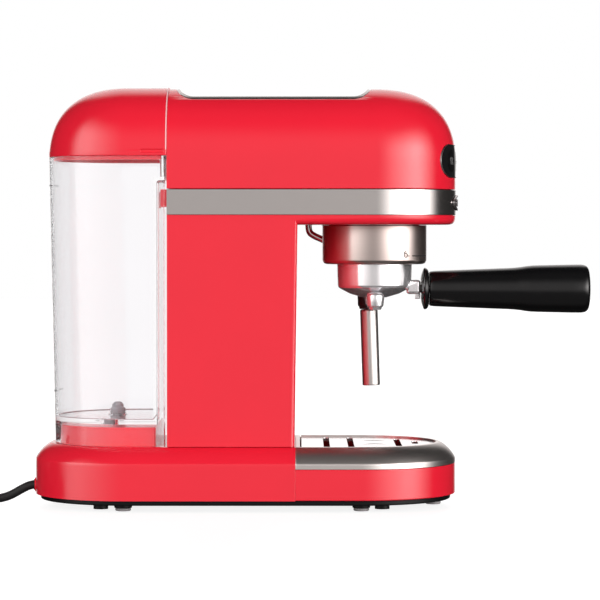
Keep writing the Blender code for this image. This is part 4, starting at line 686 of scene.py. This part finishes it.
def lathe(name, profile, place, axis="Z", steps=TURN_STEPS, closed=False, rounding=0):
    """Body of revolution from (radius, along), with rounded corners; the axis is Z, -Y (forwards), Y or X."""
    if rounding:
        profile = soften(profile, rounding, closed=closed)
    shape = bmesh.new()
    rows = []
    for step in range(steps):
        angle = tau * step / steps
        turned = [(r * MM * cos(angle), r * MM * sin(angle), z * MM) for r, z in profile]
        rows.append([shape.verts.new(point) for point in turned])
    last = len(profile) if closed else len(profile) - 1
    for row, after in zip(rows, rows[1:] + rows[:1]):
        for i in range(last):
            j = (i + 1) % len(profile)
            shape.faces.new((row[i], row[j], after[j], after[i]))
    thing = as_object(name, shape)
    thing.location = place
    thing.rotation_euler = {"Z": (0, 0, 0), "-Y": (pi / 2, 0, 0), "Y": (-pi / 2, 0, 0),
                            "X": (0, pi / 2, 0)}[axis]
    return thing


def extruded(name, outline, half_width):
    """Side outline of (forward, z), extruded across the machine."""
    return loft(name, [[spot(x, forward, z) for forward, z in outline] for x in (-half_width, half_width)])


def prism(name, outline, low, high):
    """Plan outline of (sideways, forward) between two heights."""
    return loft(name, [[spot(x, forward, z) for x, forward in outline] for z in (low, high)])


def box(name, low, high):
    """A box between two corners: sideways, forward, height."""
    (x0, f0, z0), (x1, f1, z1) = low, high
    return prism(name, [(x0, f1), (x1, f1), (x1, f0), (x0, f0)], z0, z1)


def block(name, sideways, forward, half_width, half_length, low, high):
    """A box about a place, between two heights."""
    return box(name, (sideways - half_width, forward - half_length, low),
               (sideways + half_width, forward + half_length, high))


def post(name, sideways, forward, radius, low, high, steps=48):
    """Upright cylinder between two heights."""
    profile = [(0, high), (radius, high), (radius, low), (0, low)]
    return lathe(name, profile, spot(sideways, forward, 0), steps=steps)


def bar(name, radius, start, end, steps=48):
    """Cylinder between two points."""
    along = end - start
    profile = [(0, along.length / MM), (radius, along.length / MM), (radius, 0), (0, 0)]
    thing = lathe(name, profile, start, steps=steps)
    thing.rotation_euler = along.to_track_quat("Z", "Y").to_euler()
    return thing


def strokes(name, lines, radius, finish, closed=False):
    """Thin raised lines, such as print or moulded marks."""
    curve = bpy.data.curves.new(name, "CURVE")
    curve.dimensions = "3D"
    curve.bevel_depth = radius * MM
    curve.bevel_resolution = 2
    curve.use_fill_caps = True
    for line in lines:
        spline = curve.splines.new("POLY")
        spline.points.add(len(line) - 1)
        spline.use_cyclic_u = closed and line[0] != line[-1]
        for slot, point in zip(spline.points, line):
            slot.co = (*point, 1.0)
    curve.materials.append(finish)
    return add_object(name, curve)


def tube(name, points, radius):
    thing = strokes(name, [points], radius, None)
    thing.data.bevel_resolution = TUBE_RESOLUTION
    return thing


def smooth_line(knots, samples):
    """Catmull-Rom curve through points."""
    ends = [2 * knots[0] - knots[1]] + knots + [2 * knots[-1] - knots[-2]]
    path = []
    for before, start, end, after in zip(ends, ends[1:], ends[2:], ends[3:]):
        for step in range(samples):
            t = step / samples
            square, cube = 2 * before - 5 * start + 4 * end - after, 3 * start - before - 3 * end + after
            path.append(0.5 * (2 * start + (end - before) * t + square * t ** 2 + cube * t ** 3))
    return path + [knots[-1]]


def present(thing, body, slot, *nodes, finish=None):
    """Give a piece its finish, its body and the CAD nodes that it stands for."""
    coat(thing, finish or FINISHES[slot])
    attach(thing, body)
    if nodes:
        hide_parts(*nodes)
    return thing


def shoulder_levels():
    """Slightly bulging 45 degree shoulder of the base."""
    made = []
    for step in range(SHOULDER_STEPS + 1):
        share = step / SHOULDER_STEPS
        bulge = SHOULDER_BULGE * 4 * share * (1 - share) / sqrt(2)
        made.append((SHOULDER_SIZE * share - bulge, 0, SHOULDER_START + SHOULDER_SIZE * share + bulge))
    return made


def crown_levels(offset=0.0, top=CROWN_TOP, flat=0.0):
    """Arched top of the head and lid."""
    end = acos(CROWN_FLAT ** (CROWN_POWER / 2))
    made = []
    for step in range(CROWN_STEPS + 1):
        angle = end * step / CROWN_STEPS
        reach = cos(angle) ** (2 / CROWN_POWER)
        rise = sin(angle) ** (2 / CROWN_POWER)
        made.append((offset + (UPPER.half_width - offset) * (1 - reach), flat,
                     CROWN_START + (top - CROWN_START - offset) * rise))
    return made


def crown_end(levels):
    """The arch with one more outline inside its last one, at the same height."""
    inset, _, z = levels[-1]
    return levels + [(inset + 1, CROWN_EDGE, z)]


# ---- mains cord

def coil_point(degrees):
    """Point of the coil, counted anticlockwise from where the cord runs into it: in, up, and out again."""
    half = 180 * COIL_TURNS
    turn_in = min(degrees, half)
    turn_out = max(degrees - half - COIL_RISE, 0)
    radius = COIL_RADIUS + CORD_DIAMETER * (1 - turn_in / 360 + turn_out / 360)
    climb = min(max((degrees - half) / COIL_RISE, 0), 1)
    z = CORD_DIAMETER * (0.5 + climb * climb * (3 - 2 * climb))
    angle = radians(degrees)
    x, forward = COIL_CENTRE
    return spot(x + radius * cos(angle), forward - radius * sin(angle), z + COIL_CLEARANCE)


def make_cord():
    run = [spot(0, CORD_START, CORD_EXIT_Z)] + [spot(*point) for point in CORD_ROUTE + [CORD_ENTRY]]
    end = 360 * COIL_TURNS + COIL_EXIT
    turns = [coil_point(360 * step / COIL_SAMPLES) for step in range(int(end * COIL_SAMPLES / 360) + 1)]
    tail = [spot(*point) for point in [COIL_LEAVE] + TAIL_ROUTE]
    cord = tube("mains_cord", smooth_line(run + turns + tail, 2), CORD_DIAMETER / 2)
    present(cord, "machine", "black_rubber", "power_cord", "cord_coil", "cord_tail")

    place = spot(*PLUG_PLACE)
    plug = lathe("mains_plug", PLUG_PROFILE, place, "Y", steps=64, rounding=0.6)
    inner, outer, half = PLUG_GROOVE
    for along in PLUG_RINGS:
        profile = [(outer, along + half), (outer, along - half), (inner, along - half), (inner, along + half)]
        carve(plug, lathe("groove", profile, place, "Y", steps=64, closed=True))
    present(plug, "machine", "black_plastic", "plug_body")
    for i, across in enumerate(PIN_SIDES):
        x, forward, z = PLUG_PLACE
        pin = lathe(f"mains_pin_{i + 1}", PIN_PROFILE, spot(x + across, forward - PIN_ROOT, z), "Y", steps=40)
        present(pin, "machine", "polished_steel", f"plug_pin_{i + 1}")
    relief = lathe("strain_relief", BUSHING_PROFILE, spot(0, 0, CORD_EXIT_Z), "Y", 48, True, rounding=0.3)
    present(relief, "machine", "black_rubber", "cord_bushing")


# ---- base and drip tray

def make_base():
    levels = soften(HOUSING_INSIDE, 0.8)
    levels += soften([HOUSING_SIDE] + shoulder_levels() + [HOUSING_CEILING], SHOULDER_ROUND, steps=6)
    housing = loft("base_shell", rings(levels, BASE, front=BASE_SEAM, corner=0.3))
    pedestal = rings(soften(PEDESTAL_LEVELS, 1.4), PEDESTAL, front=PEDESTAL_FRONT, corner=2)
    unite(housing, loft("pedestal", pedestal),
          lathe("bezel", BEZEL_PROFILE, spot(0, 0, CORD_EXIT_Z), "Y", 64))
    carve(housing, post("socket_hole", 0, COUPLING_FORWARD, *SOCKET_HOLE),
          bar("cord_hole", CORD_HOLE, *[spot(0, forward, CORD_EXIT_Z) for forward in CORD_HOLE_SPAN]))
    present(even_out(housing), "machine", "red_plastic", "base_housing")

    plate = loft("base_underside", rings(soften(PLATE_LEVELS, 1.2), BASE))
    for i, (side, forward) in enumerate(FEET):
        place = spot(side, forward, 0)
        unite(plate, lathe("boss", FOOT_BOSS_PROFILE, place, steps=48, rounding=0.4))
        foot = lathe(f"foot_{i + 1}", FOOT_PROFILE, place, steps=48, rounding=0.3)
        present(foot, "machine", "grey_rubber", f"foot_pad_{i + 1}")
    for i, (side, forward) in enumerate(SCREWS):
        unite(plate, post("boss", side, forward, *SCREW_BOSS))
        carve(plate, post("recess", side, forward, *SCREW_RECESS))
        screw = lathe(f"screw_{i + 1}", SCREW_PROFILE, spot(side, forward, 0), steps=40, rounding=0.3)
        for x, y in (SCREW_SLOT, SCREW_SLOT[::-1]):
            carve(screw, block("slot", side, forward, x, y, *SCREW_SLOT_SPAN))
        present(screw, "machine", "brushed_steel", f"base_screw_{i + 1}")
    for i in range(VENTS):
        carve(plate, block("vent", 0, (i - (VENTS - 1) / 2) * VENT_PITCH, *VENT_HALF, *VENT_SPAN))
    present(even_out(plate), "machine", "black_plastic", "base_plate", finish=MATT_BLACK)


def make_drip_tray():
    tray = loft("drip_tub", rings(soften(DRIP_LEVELS, 0.7), BASE, rear=TRAY_SEAM, corner=0.3))
    present(even_out(tray), "drip_tray", "red_plastic", "drip_tray")

    outer = soften([(0, 0, RIM_BOTTOM)] + shoulder_levels() + [RIM_END], 0.9)
    rim = loft("tray_trim", rings(outer + soften(RIM_INSIDE, 0.3), BASE, rear=TRAY_SEAM), loop=True)
    present(even_out(rim), "drip_tray", "brushed_steel", "tray_rim", finish=RIM_STEEL)


def crescent(sideways):
    """Outline of a crescent slot that bows to the right, as (sideways, forward)."""
    points = []
    for edge, order in ((1, range(CRESCENT_STEPS + 1)), (-1, range(CRESCENT_STEPS - 1, 0, -1))):
        for step in order:
            share = 2 * step / CRESCENT_STEPS - 1
            width = CRESCENT_HALF_WIDTH * (1 - share ** 2)
            across = sideways + CRESCENT_BOW * (0.5 - share ** 2) + edge * width
            points.append((across, GROUP_FORWARD + CRESCENT_LENGTH * share))
    return points


def make_grille():
    grille = loft("grille_plate", rings(soften(GRILLE_LEVELS, 0.35), BASE, rear=GRILLE_REAR, corner=1.5))
    for forward, half in SLOTS:
        slot = block("slot", 0, forward, half, SLOT_HALF_WIDTH, *SLOT_SPAN)
        round_corners = slot.modifiers.new("ends", "BEVEL")
        round_corners.width = SLOT_HALF_WIDTH * SLOT_ROUND * MM
        round_corners.segments = 8
        round_corners.limit_method = "WEIGHT"
        weights = slot.data.attributes.new("bevel_weight_edge", "FLOAT", "EDGE")
        for edge in slot.data.edges:
            a, b = (slot.data.vertices[v].co for v in edge.vertices)
            weights.data[edge.index].value = 1.0 if abs(a.z - b.z) > MM else 0.0
        carve(grille, settle(slot))
    for side in CRESCENT_SIDES:
        carve(grille, prism("crescent", crescent(side), *SLOT_SPAN))
    place, *halves = END_SLOT
    for side in (-place, place):
        carve(grille, block("mark", side, GROUP_FORWARD, *halves, *SLOT_SPAN))
    present(round_off(grille, 0.15, 1), "drip_grille", "polished_steel", "drip_grille")


# ---- column and head

def make_body():
    inner = BAND_RECESS + WALL
    levels = [(inner, WALL, HEAD_BOTTOM + WALL), (inner, WALL, HEAD_WALL_TOP), (BAND_RECESS, 0, HEAD_WALL_TOP),
              (BAND_RECESS, 0, BAND_BOTTOM), (0, 0, BAND_BOTTOM)]
    lip = [(0, 0, HEAD_BOTTOM + HEAD_LIP), (0, 0, HEAD_BOTTOM), (HEAD_LIP, 0, HEAD_BOTTOM)]
    levels += soften(lip, HEAD_EDGE, steps=8)[1:]
    body = loft("body_shell", rings(levels, UPPER, rear=COLUMN_REAR))
    bottom, top = (COLUMN_BOTTOM, COLUMN_FRONT_BOTTOM), (COLUMN_TOP, COLUMN_FRONT_TOP)
    walls = (COLUMN_FLUSH, bottom), (COLUMN_FLUSH, top), (WALL, top), (WALL, bottom)
    column = [ring(z, UPPER.half_width - inset, front - inset, COLUMN_REAR + inset, *COLUMN_CORNERS)
              for inset, (z, front) in walls]
    unite(body, loft("column", column, loop=True))
    for side in (-1, 1):
        near, far = sorted((side * LUG_SIDE, side * (LUG_SIDE + LUG_WIDTH)))
        unite(body, box("lug", (near, LUG_REACH, LUG_SPAN[0]), (far, COLUMN_REAR + 1, LUG_SPAN[1])))
    carve(body, post("group_hole", 0, GROUP_FORWARD, GROUP_HOLE, *HEAD_FLOOR_SPAN, TURN_STEPS),
          post("wand_hole", WAND_SIDE, WAND_FORWARD, WAND_HOLE, *HEAD_FLOOR_SPAN), stem_hole(), stud_hole())
    present(even_out(body), "machine", "red_plastic", "body_housing")


def stem_hole():
    return bar("stem_hole", STEM_HOLE, *[spot(x, KNOB_FORWARD, KNOB_Z) for x in STEM_HOLE_SPAN])


def stud_hole():
    return bar("stud_hole", STUD_HOLE, *[spot(0, forward, BADGE_Z) for forward in STUD_HOLE_SPAN], 32)


def make_band():
    """Steel strip that runs round the head from one rear corner to the other."""
    low, high = BAND_BOTTOM + GAP, BAND_TOP - GAP
    section = [(BAND_INNER, low), (BAND_PROUD, low), (BAND_PROUD, high), (BAND_INNER, high)]
    section = soften(section, 0.35, 3, True)
    half_width, steps = UPPER.half_width, 4 * QUARTER_STEPS
    turns = [pi * step / steps for step in range(steps + 1)]
    stations = [(-cos(turn), sin(turn), UPPER.front - half_width) for turn in turns]
    stations = [(-1, 0, COLUMN_REAR)] + stations + [(1, 0, COLUMN_REAR)]
    rows = [[spot(x * (half_width + out), forward + y * (half_width + out), z) for out, z in section]
            for x, y, forward in stations]
    band = carve(loft("head_band", rows), stem_hole(), stud_hole())
    present(even_out(band), "machine", "brushed_steel", "steel_band")


def tray_side(drop, degrees):
    """Side line of the cup tray with curled ends, rear to front, as (forward, z)."""
    radius = TRAY_CURL + drop
    turns = [radians(degrees) * step / TRAY_CURL_STEPS for step in range(TRAY_CURL_STEPS + 1)]
    curl = [(radius * sin(turn), TRAY_UNDERSIDE + TRAY_CURL - radius * cos(turn)) for turn in turns]
    rear, front = TRAY_FLAT
    return [(rear - reach, z) for reach, z in reversed(curl)] + [(front + reach, z) for reach, z in curl]


def pill(name, grow):
    """Cutter with the control panel's outline."""
    half_height = PANEL_HALF[1] + grow
    middle = PANEL_HALF[0] - PANEL_HALF[1]
    outline = []
    for side, first in ((1, -90), (-1, 90)):
        outline += arc((side * middle, PANEL_Z), half_height, first, first + 180, QUARTER_STEPS)
    return loft(name, [[spot(x, forward, z) for x, z in outline] for forward in (PANEL_BACK, PANEL_AHEAD)])


def head_solid(name, proud, bottom=BAND_TOP):
    """The head's outer shape, swollen by a height."""
    return loft(name, rings([(-proud, 0, bottom)] + crown_levels(-proud), UPPER))


def make_head():
    inside = crown_levels(WALL, CROWN_TOP - COVER_ROOF, WALL)
    levels = list(reversed(inside)) + [(WALL, WALL, COVER_INSIDE)]
    levels += soften([(WALL, WALL, COVER_BOTTOM), (0, 0, COVER_BOTTOM), (0, 0, COVER_EDGE)], 0.5)
    head = loft("head_shell", rings(levels + crown_end(crown_levels()), UPPER, rear=COLUMN_REAR, corner=0.3))
    outline = tray_side(GAP, 90)
    above = CROWN_TOP + TRAY_CURL
    saddle = extruded("saddle", outline + [(outline[-1][0], above), (outline[0][0], above)], SADDLE_HALF)
    carve(head, saddle, pill("panel_opening", GAP))
    present(round_off(head, 0.6, 3), "machine", "red_plastic", "head_cover")

    lower, upper = tray_side(0, TRAY_CURL_DEGREES), tray_side(-TRAY_SHEET, TRAY_CURL_DEGREES)
    tray = extruded("cup_warmer", lower + list(reversed(upper)), TRAY_HALF)
    keep_inside(tray, head_solid("trim", 0))
    present(round_off(tray, 0.4), "machine", "polished_steel", "cup_tray", finish=TRAY_STEEL)


def facing(degrees, out, z):
    """Point on the head's round front, at an angle from straight forward."""
    turn = radians(degrees)
    return spot(out * sin(turn), UPPER.front - UPPER.half_width + out * cos(turn), z)


def button_bar(name, degrees, radius, start):
    """Cutter through the nose at a button."""
    return bar(name, radius, facing(degrees, start, PANEL_Z), facing(degrees, BUTTON_TO, PANEL_Z), 64)


def make_panel():
    panel = head_solid("panel_face", PANEL_PROUD)
    keep_inside(panel, pill("outline", -PANEL_TRIM))
    carve(panel, head_solid("inside", -PANEL_DEPTH, PANEL_INSIDE_BOTTOM))
    for degrees in BUTTON_DEGREES.values():
        carve(panel, button_bar("hole", degrees, BUTTON_RADIUS + BUTTON_GAP, BUTTON_HOLE_FROM))
    present(round_off(panel, 0.3), "machine", "black_plastic", "control_panel", finish=PANEL_GLOSS)

    trim = head_solid("panel_trim", TRIM_PROUD)
    keep_inside(trim, pill("outline", 0))
    carve(trim, head_solid("inside", -TRIM_DEPTH, PANEL_INSIDE_BOTTOM),
          pill("middle", TRIM_OVERLAP - PANEL_TRIM))
    present(round_off(trim, 0.12, 1), "machine", "polished_steel", finish=SATIN_TRIM)

    for name, degrees in BUTTON_DEGREES.items():
        button = head_solid(name + "_cap", BUTTON_PROUD)
        keep_inside(button, button_bar("edge", degrees, BUTTON_RADIUS, BUTTON_FROM))
        present(round_off(button, 0.5, 3), name, "black_plastic", name)
        lines = [[facing(degrees + math.degrees(u / ICON_REACH), ICON_REACH, PANEL_Z + v) for u, v in line]
                 for line in BUTTON_ICONS[name]]
        icon = strokes(name + "_icon", lines, ICON_LINE, PRINT_WHITE)
        present(icon, name, "black_plastic", finish=PRINT_WHITE)


def arc(middle, radius, first, last, steps=20):
    turns = [radians(first + (last - first) * step / steps) for step in range(steps + 1)]
    return [(middle[0] + radius * cos(t), middle[1] + radius * sin(t)) for t in turns]


def steam_wave(sideways):
    bow, height = 0.7, 5.2
    shares = [step / 16 for step in range(17)]
    return [(sideways + bow * sin(tau * share), height * (share - 0.5)) for share in shares]


BUTTON_ICONS = {
    "power_button": [arc((0, 0), 2.6, 125, 415), [(0, 0.6), (0, 3.4)]],
    "brew_button": [arc((0, 0.6), 2.6, 180, 360) + [(-2.6, 0.6)], arc((2.7, 0.1), 1.1, -95, 80),
                    [(-3.2, -2.9), (3.2, -2.9)]],
    "steam_button": [steam_wave(-2.1), steam_wave(0), steam_wave(2.1)],
}


def nose_plate(name, height, half_width, half_height):
    """Oval piece of the head's front at the badge, swollen by a height."""
    turns = [tau * step / TURN_STEPS for step in range(TURN_STEPS)]
    oval = loft("oval", [[spot(half_width * sin(turn), forward, BADGE_Z - half_height * cos(turn))
                          for turn in turns] for forward in (PANEL_BACK, PANEL_AHEAD)])
    return keep_inside(loft(name, rings([(-height, 0, BAND_BOTTOM), (-height, 0, BAND_TOP)], UPPER)), oval)


def make_badge():
    """Oval plate bent round the nose: a raised ring, a dished face and a raised middle."""
    badge = nose_plate("oval_badge", BADGE_PROUD, *BADGE_OVAL)
    inside = [(-BADGE_SEAT, 0, BAND_BOTTOM - 2), (-BADGE_SEAT, 0, BAND_TOP + 2)]
    carve(badge, loft("inside", rings(inside, UPPER)))
    dish = nose_plate("dish", DISH_PROUD, *BADGE_OPENING)
    carve(dish, nose_plate("face", BADGE_FACE, *BADGE_FACE_HALF),
          nose_plate("emblem", EMBLEM_PROUD, *BADGE_EMBLEM))
    carve(badge, dish)
    unite(badge, bar("stud", BADGE_STUD, spot(0, UPPER.front + BADGE_STUD_HEAD, BADGE_Z),
                     spot(0, UPPER.front - BADGE_STUD_REACH, BADGE_Z), 32))
    present(round_off(badge, 0.3), "machine", "polished_steel", "badge", finish=BADGE_STEEL)


# ---- group, portafilter, wand and knob

def on_collar(degrees, z):
    """Point on the collar, at an angle from the left side towards the front."""
    turn = radians(degrees)
    return spot(-COLLAR_RADIUS * cos(turn), GROUP_FORWARD + COLLAR_RADIUS * sin(turn), z)


def make_collar():
    place = spot(0, GROUP_FORWARD, 0)
    collar = lathe("collar_ring", COLLAR_PROFILE, place, closed=True, steps=128, rounding=0.6)
    present(collar, "machine", "brushed_steel", "group_collar", finish=WARM_STEEL)

    shackle = arc((-0.55, 1.9), 0.8, 15, 180) + [(-1.35, 1.2)]
    lock = [arc((0, 0), 1.35, 0, 360), shackle, [(0, -0.3), (0, 0.3)]]
    marks = [[on_collar(LOCK_DEGREES + math.degrees(u / COLLAR_RADIUS), LOCK_Z + v) for u, v in line]
             for line in lock]
    first, last = LOCK_LINE_DEGREES
    marks.append([on_collar(first + (last - first) * step / 16, LOCK_LINE_Z) for step in range(17)])
    marks.append([on_collar(degrees, LOCK_LINE_Z) for degrees in LOCK_DOT_DEGREES])
    drawn = strokes("lock_marks", marks, LOCK_STROKE, PRINT_DARK)
    present(drawn, "machine", "brushed_steel", finish=PRINT_DARK)


def ear(middle_degrees):
    """One lug of the bayonet."""
    outline = []
    for radius, order in ((EAR_REACH[1], (-1, 1)), (EAR_REACH[0], (1, -1))):
        for step in range(13):
            share = order[0] + (order[1] - order[0]) * step / 12
            angle = radians(middle_degrees + EAR_HALF_ANGLE * share)
            outline.append((radius * sin(angle), GROUP_FORWARD + radius * cos(angle)))
    return prism("ear", outline, *EAR_SPAN)


def make_portafilter():
    place = spot(0, GROUP_FORWARD, 0)
    bowl = lathe("bowl", BOWL_PROFILE, place, closed=True, steps=128, rounding=0.5)
    unite(bowl, ear(90), ear(270))
    for name, half, (rear, front), (low, high), rounding, segments in (
            ("neck", NECK_HALF, NECK_FORWARD, NECK_SPAN, 2.2, 5),
            ("rib", RIB_HALF, RIB_FORWARD, RIB_SPAN, 0.6, 3)):
        unite(bowl, settle(round_off(box(name, (-half, rear, low), (half, front, high)), rounding, segments)))
    carve(bowl, bar("bolt_hole", BOLT_HOLE, *[spot(0, forward, HANDLE_Z) for forward in BOLT_HOLE_SPAN], 40))
    present(even_out(bowl), "portafilter", "polished_steel", "portafilter_bowl", finish=BRIGHT_STEEL)

    along = spot(0, 0, HANDLE_Z)
    flange = lathe("handle_collar", FLANGE_PROFILE, along, "-Y", closed=True, rounding=0.5)
    present(flange, "portafilter", "black_plastic", "handle_flange")
    grip = lathe("handle", soften(GRIP_PROFILE, 1.0, steps=5), along, "-Y")
    present(grip, "portafilter", "black_plastic", "handle_grip")

    ends = [spot(side, GROUP_FORWARD, SPOUT_Z) for side in (-SPOUT_SIDE, SPOUT_SIDE)]
    spout = bar("twin_spout", SPOUT_RADIUS, *ends)
    unite(spout, post("stub", 0, GROUP_FORWARD, STUB_RADIUS, SPOUT_Z, STUB_TOP))
    for side in (-SPOUT_SIDE, SPOUT_SIDE):
        unite(spout, lathe("cap", SPOUT_CAP, spot(side, GROUP_FORWARD, 0), steps=64, rounding=0.4))
    present(round_off(spout, 0.4), "portafilter", "polished_steel", "spout", finish=BRIGHT_STEEL)


def make_wand():
    route = [spot(WAND_SIDE, forward, z) for forward, z in WAND_ROUTE]
    pipe = tube("wand_pipe", smooth_line(route, 8), WAND_PIPE_RADIUS)
    present(pipe, "steam_wand", "polished_steel", "steam_pipe")
    foot = spot(WAND_SIDE, *WAND_FOOT)
    hold = lathe("wand_hold", HOLD_PROFILE, foot, closed=True, steps=64, rounding=0.4)
    sleeve = lathe("froth_sleeve", SLEEVE_PROFILE, foot, closed=True, steps=64, rounding=0.4)
    tip = lathe("wand_tip", TIP_PROFILE, foot, steps=64, rounding=0.4)
    for piece in (hold, sleeve, tip):
        piece.rotation_euler = (-WAND_TILT, 0, 0)
    present(hold, "steam_wand", "black_rubber", "wand_grip")
    present(sleeve, "frothing_sleeve", "polished_steel", "frothing_sleeve", finish=SATIN_STEEL)
    present(tip, "steam_wand", "brass", "steam_tip")


def make_knob():
    knob = lathe("steam_dial", KNOB_PROFILE, spot(0, KNOB_FORWARD, KNOB_Z), "X", rounding=0.5)
    radius, circle = KNOB_FLUTE
    for i in range(KNOB_FLUTES):
        angle = tau * i / KNOB_FLUTES
        forward, z = KNOB_FORWARD + circle * cos(angle), KNOB_Z + circle * sin(angle)
        carve(knob, bar("flute", radius, *[spot(x, forward, z) for x in KNOB_FLUTE_SPAN], 16))
    present(even_out(knob), "steam_knob", "black_plastic", "steam_knob")
    heights = [KNOB_Z + POINTER_START + POINTER_LENGTH * step / 6 for step in range(7)]
    line = [spot(POINTER_SIDE, KNOB_FORWARD, z) for z in heights]
    pointer = strokes("dial_pointer", [line], POINTER_LINE, PRINT_WHITE)
    present(pointer, "steam_knob", "black_plastic", finish=PRINT_WHITE)


# ---- water tank and lid

def tank_lean(z):
    """How far the tank's round back leans in at a height."""
    low, high = TANK_SPAN
    return TANK_DRAFT * (high - z) / (high - low)


def tank_ring(inset, z):
    rear = UPPER.rear + tank_lean(z) + inset
    return ring(z, TANK_HALF_WIDTH - inset, TANK_FRONT - inset, rear, TANK_CORNER)


def make_tank():
    low, high = TANK_SPAN
    lip = soften([(0, high - TANK_LIP_START), (0, high), (TANK_LIP, high)], 0.5)
    tank = loft("clear_tank", [tank_ring(0, low), tank_ring(0, low + 1)] + [tank_ring(i, z) for i, z in lip])
    half = TANK_HALF_WIDTH - TANK_FLANGE
    recess = box("recess", (-half, TANK_RECESS_FRONT, low - 2), (half, TANK_FRONT + 2, TANK_RECESS_TOP))
    carve(tank, settle(round_off(recess, 2.2, 5)))
    bottom, floor = TANK_FLOOR
    cavity = loft("cavity", [tank_ring(TANK_WALL, z) for z in (floor, floor + 1, high + 2)])
    inner_wall = TANK_RECESS_FRONT - TANK_WALL
    half = BASE.half_width
    carve(cavity, box("step", (-half, inner_wall, 0), (half, 0, TANK_RECESS_TOP + TANK_WALL)))
    carve(tank, cavity, loft("skirt", [tank_ring(TANK_FLANGE, z) for z in (low - 2, bottom)]))
    carve(tank, post("valve_hole", 0, COUPLING_FORWARD, *VALVE_HOLE))
    place = spot(0, COUPLING_FORWARD, 0)
    unite(tank, lathe("coupling", COUPLING_PROFILE, place, closed=True))
    present(even_out(tank), "water_tank", "clear_plastic", "water_tank")
    tank.visible_shadow = False

    marks = []
    for z, half_width in LEVEL_MARKS:
        back = UPPER.rear + tank_lean(z) + TANK_HALF_WIDTH
        marks.append([spot(x, back - sqrt(TANK_HALF_WIDTH ** 2 - x ** 2), z)
                      for x in (half_width * (step / 8 - 1) for step in range(17))])
    # Thin mauve-grey line round the inner floor edge: painted shade in place of the dark edge that the clear
    # floor shows
    edge = tank_ring(TANK_WALL + FLOOR_EDGE_INSET, floor + FLOOR_EDGE_RISE)
    edge = [(x, max(y, y_at(inner_wall)), z) for x, y, z in edge]
    for name, lines, finish, closed in (("level_marks", marks, PRINT_DARK, False),
                                        ("tank_floor_shade_line", [edge], PAINTED_FLOOR_SHADE, True)):
        drawn = strokes(name, lines, TANK_MARK_LINE, finish, closed)
        present(drawn, "water_tank", "clear_plastic", finish=finish)

    valve = lathe("bottom_valve", TANK_VALVE_PROFILE, place, steps=64, rounding=0.3)
    present(valve, "tank_valve", "grey_plastic", "tank_valve")
    socket = lathe("valve_socket", SOCKET_PROFILE, place, steps=64, rounding=0.3)
    present(socket, "machine", "grey_plastic", "coupling_socket")


def make_lid():
    inside, crown = crown_levels(WALL, LID_TOP, WALL), crown_end(crown_levels(0, LID_TOP))
    levels = [level for level in reversed(inside) if level[2] > LID_SHELF] + soften(LID_SKIRT, 0.5)
    levels += [level for level in crown if level[2] > LID_SHELF]
    depth, stretch = LID_EDGE
    edge = y_at(LID_FRONT)
    reach = 1.02 * depth * MM
    rows = [[(x, edge + (y - edge) * stretch if y - edge < reach else y, z) for x, y, z in row]
            for row in rings(levels, UPPER, front=LID_FRONT, corner=depth)]
    lid = loft("lid_shell", rows)
    forward, half_length, z, half_height = FINGER_RECESS
    for side in (-UPPER.half_width, UPPER.half_width):
        hollow = block("finger_recess", side, forward, FINGER_RECESS_DEPTH, half_length,
                       z - half_height, z + half_height)
        carve(lid, settle(round_off(hollow, 1.0, 5)))
    present(even_out(lid), "tank_lid", "red_plastic", "tank_lid")

    # A pale pink strand along the lid's front edge is a painted highlight for the light that the rounded edge
    # catches
    crown = crown_levels(SEAM_INSET, LID_TOP)
    arch = [(UPPER.half_width - inset, z) for inset, _, z in crown if z > SEAM_BOTTOM]
    arch = [(-x, z) for x, z in arch] + arch[::-1]
    seam = strokes("lid_seam_painted_highlight", [[spot(x, LID_FRONT - SEAM_BACK, z) for x, z in arch]], SEAM_RADIUS, SEAM_PAINTED_HIGHLIGHT)
    present(seam, "tank_lid", "red_plastic", finish=SEAM_PAINTED_HIGHLIGHT)


def finish_cad_nodes():
    """The CAD nodes that still show keep their shape and take the detailed finishes."""
    slots = {part["node"]: part["material_slot"] for part in frame["record"]["subparts"]}
    for name, node in frame["nodes"].items():
        coat(node, FINISHES[slots[name]])
        shade(node.data)


make_camera()
make_cord()
make_world()
make_lights()
make_floor()
make_base()
make_drip_tray()
make_grille()
make_body()
make_band()
make_head()
make_panel()
make_badge()
make_collar()
make_portafilter()
make_wand()
make_knob()
make_tank()
make_lid()
finish_cad_nodes()
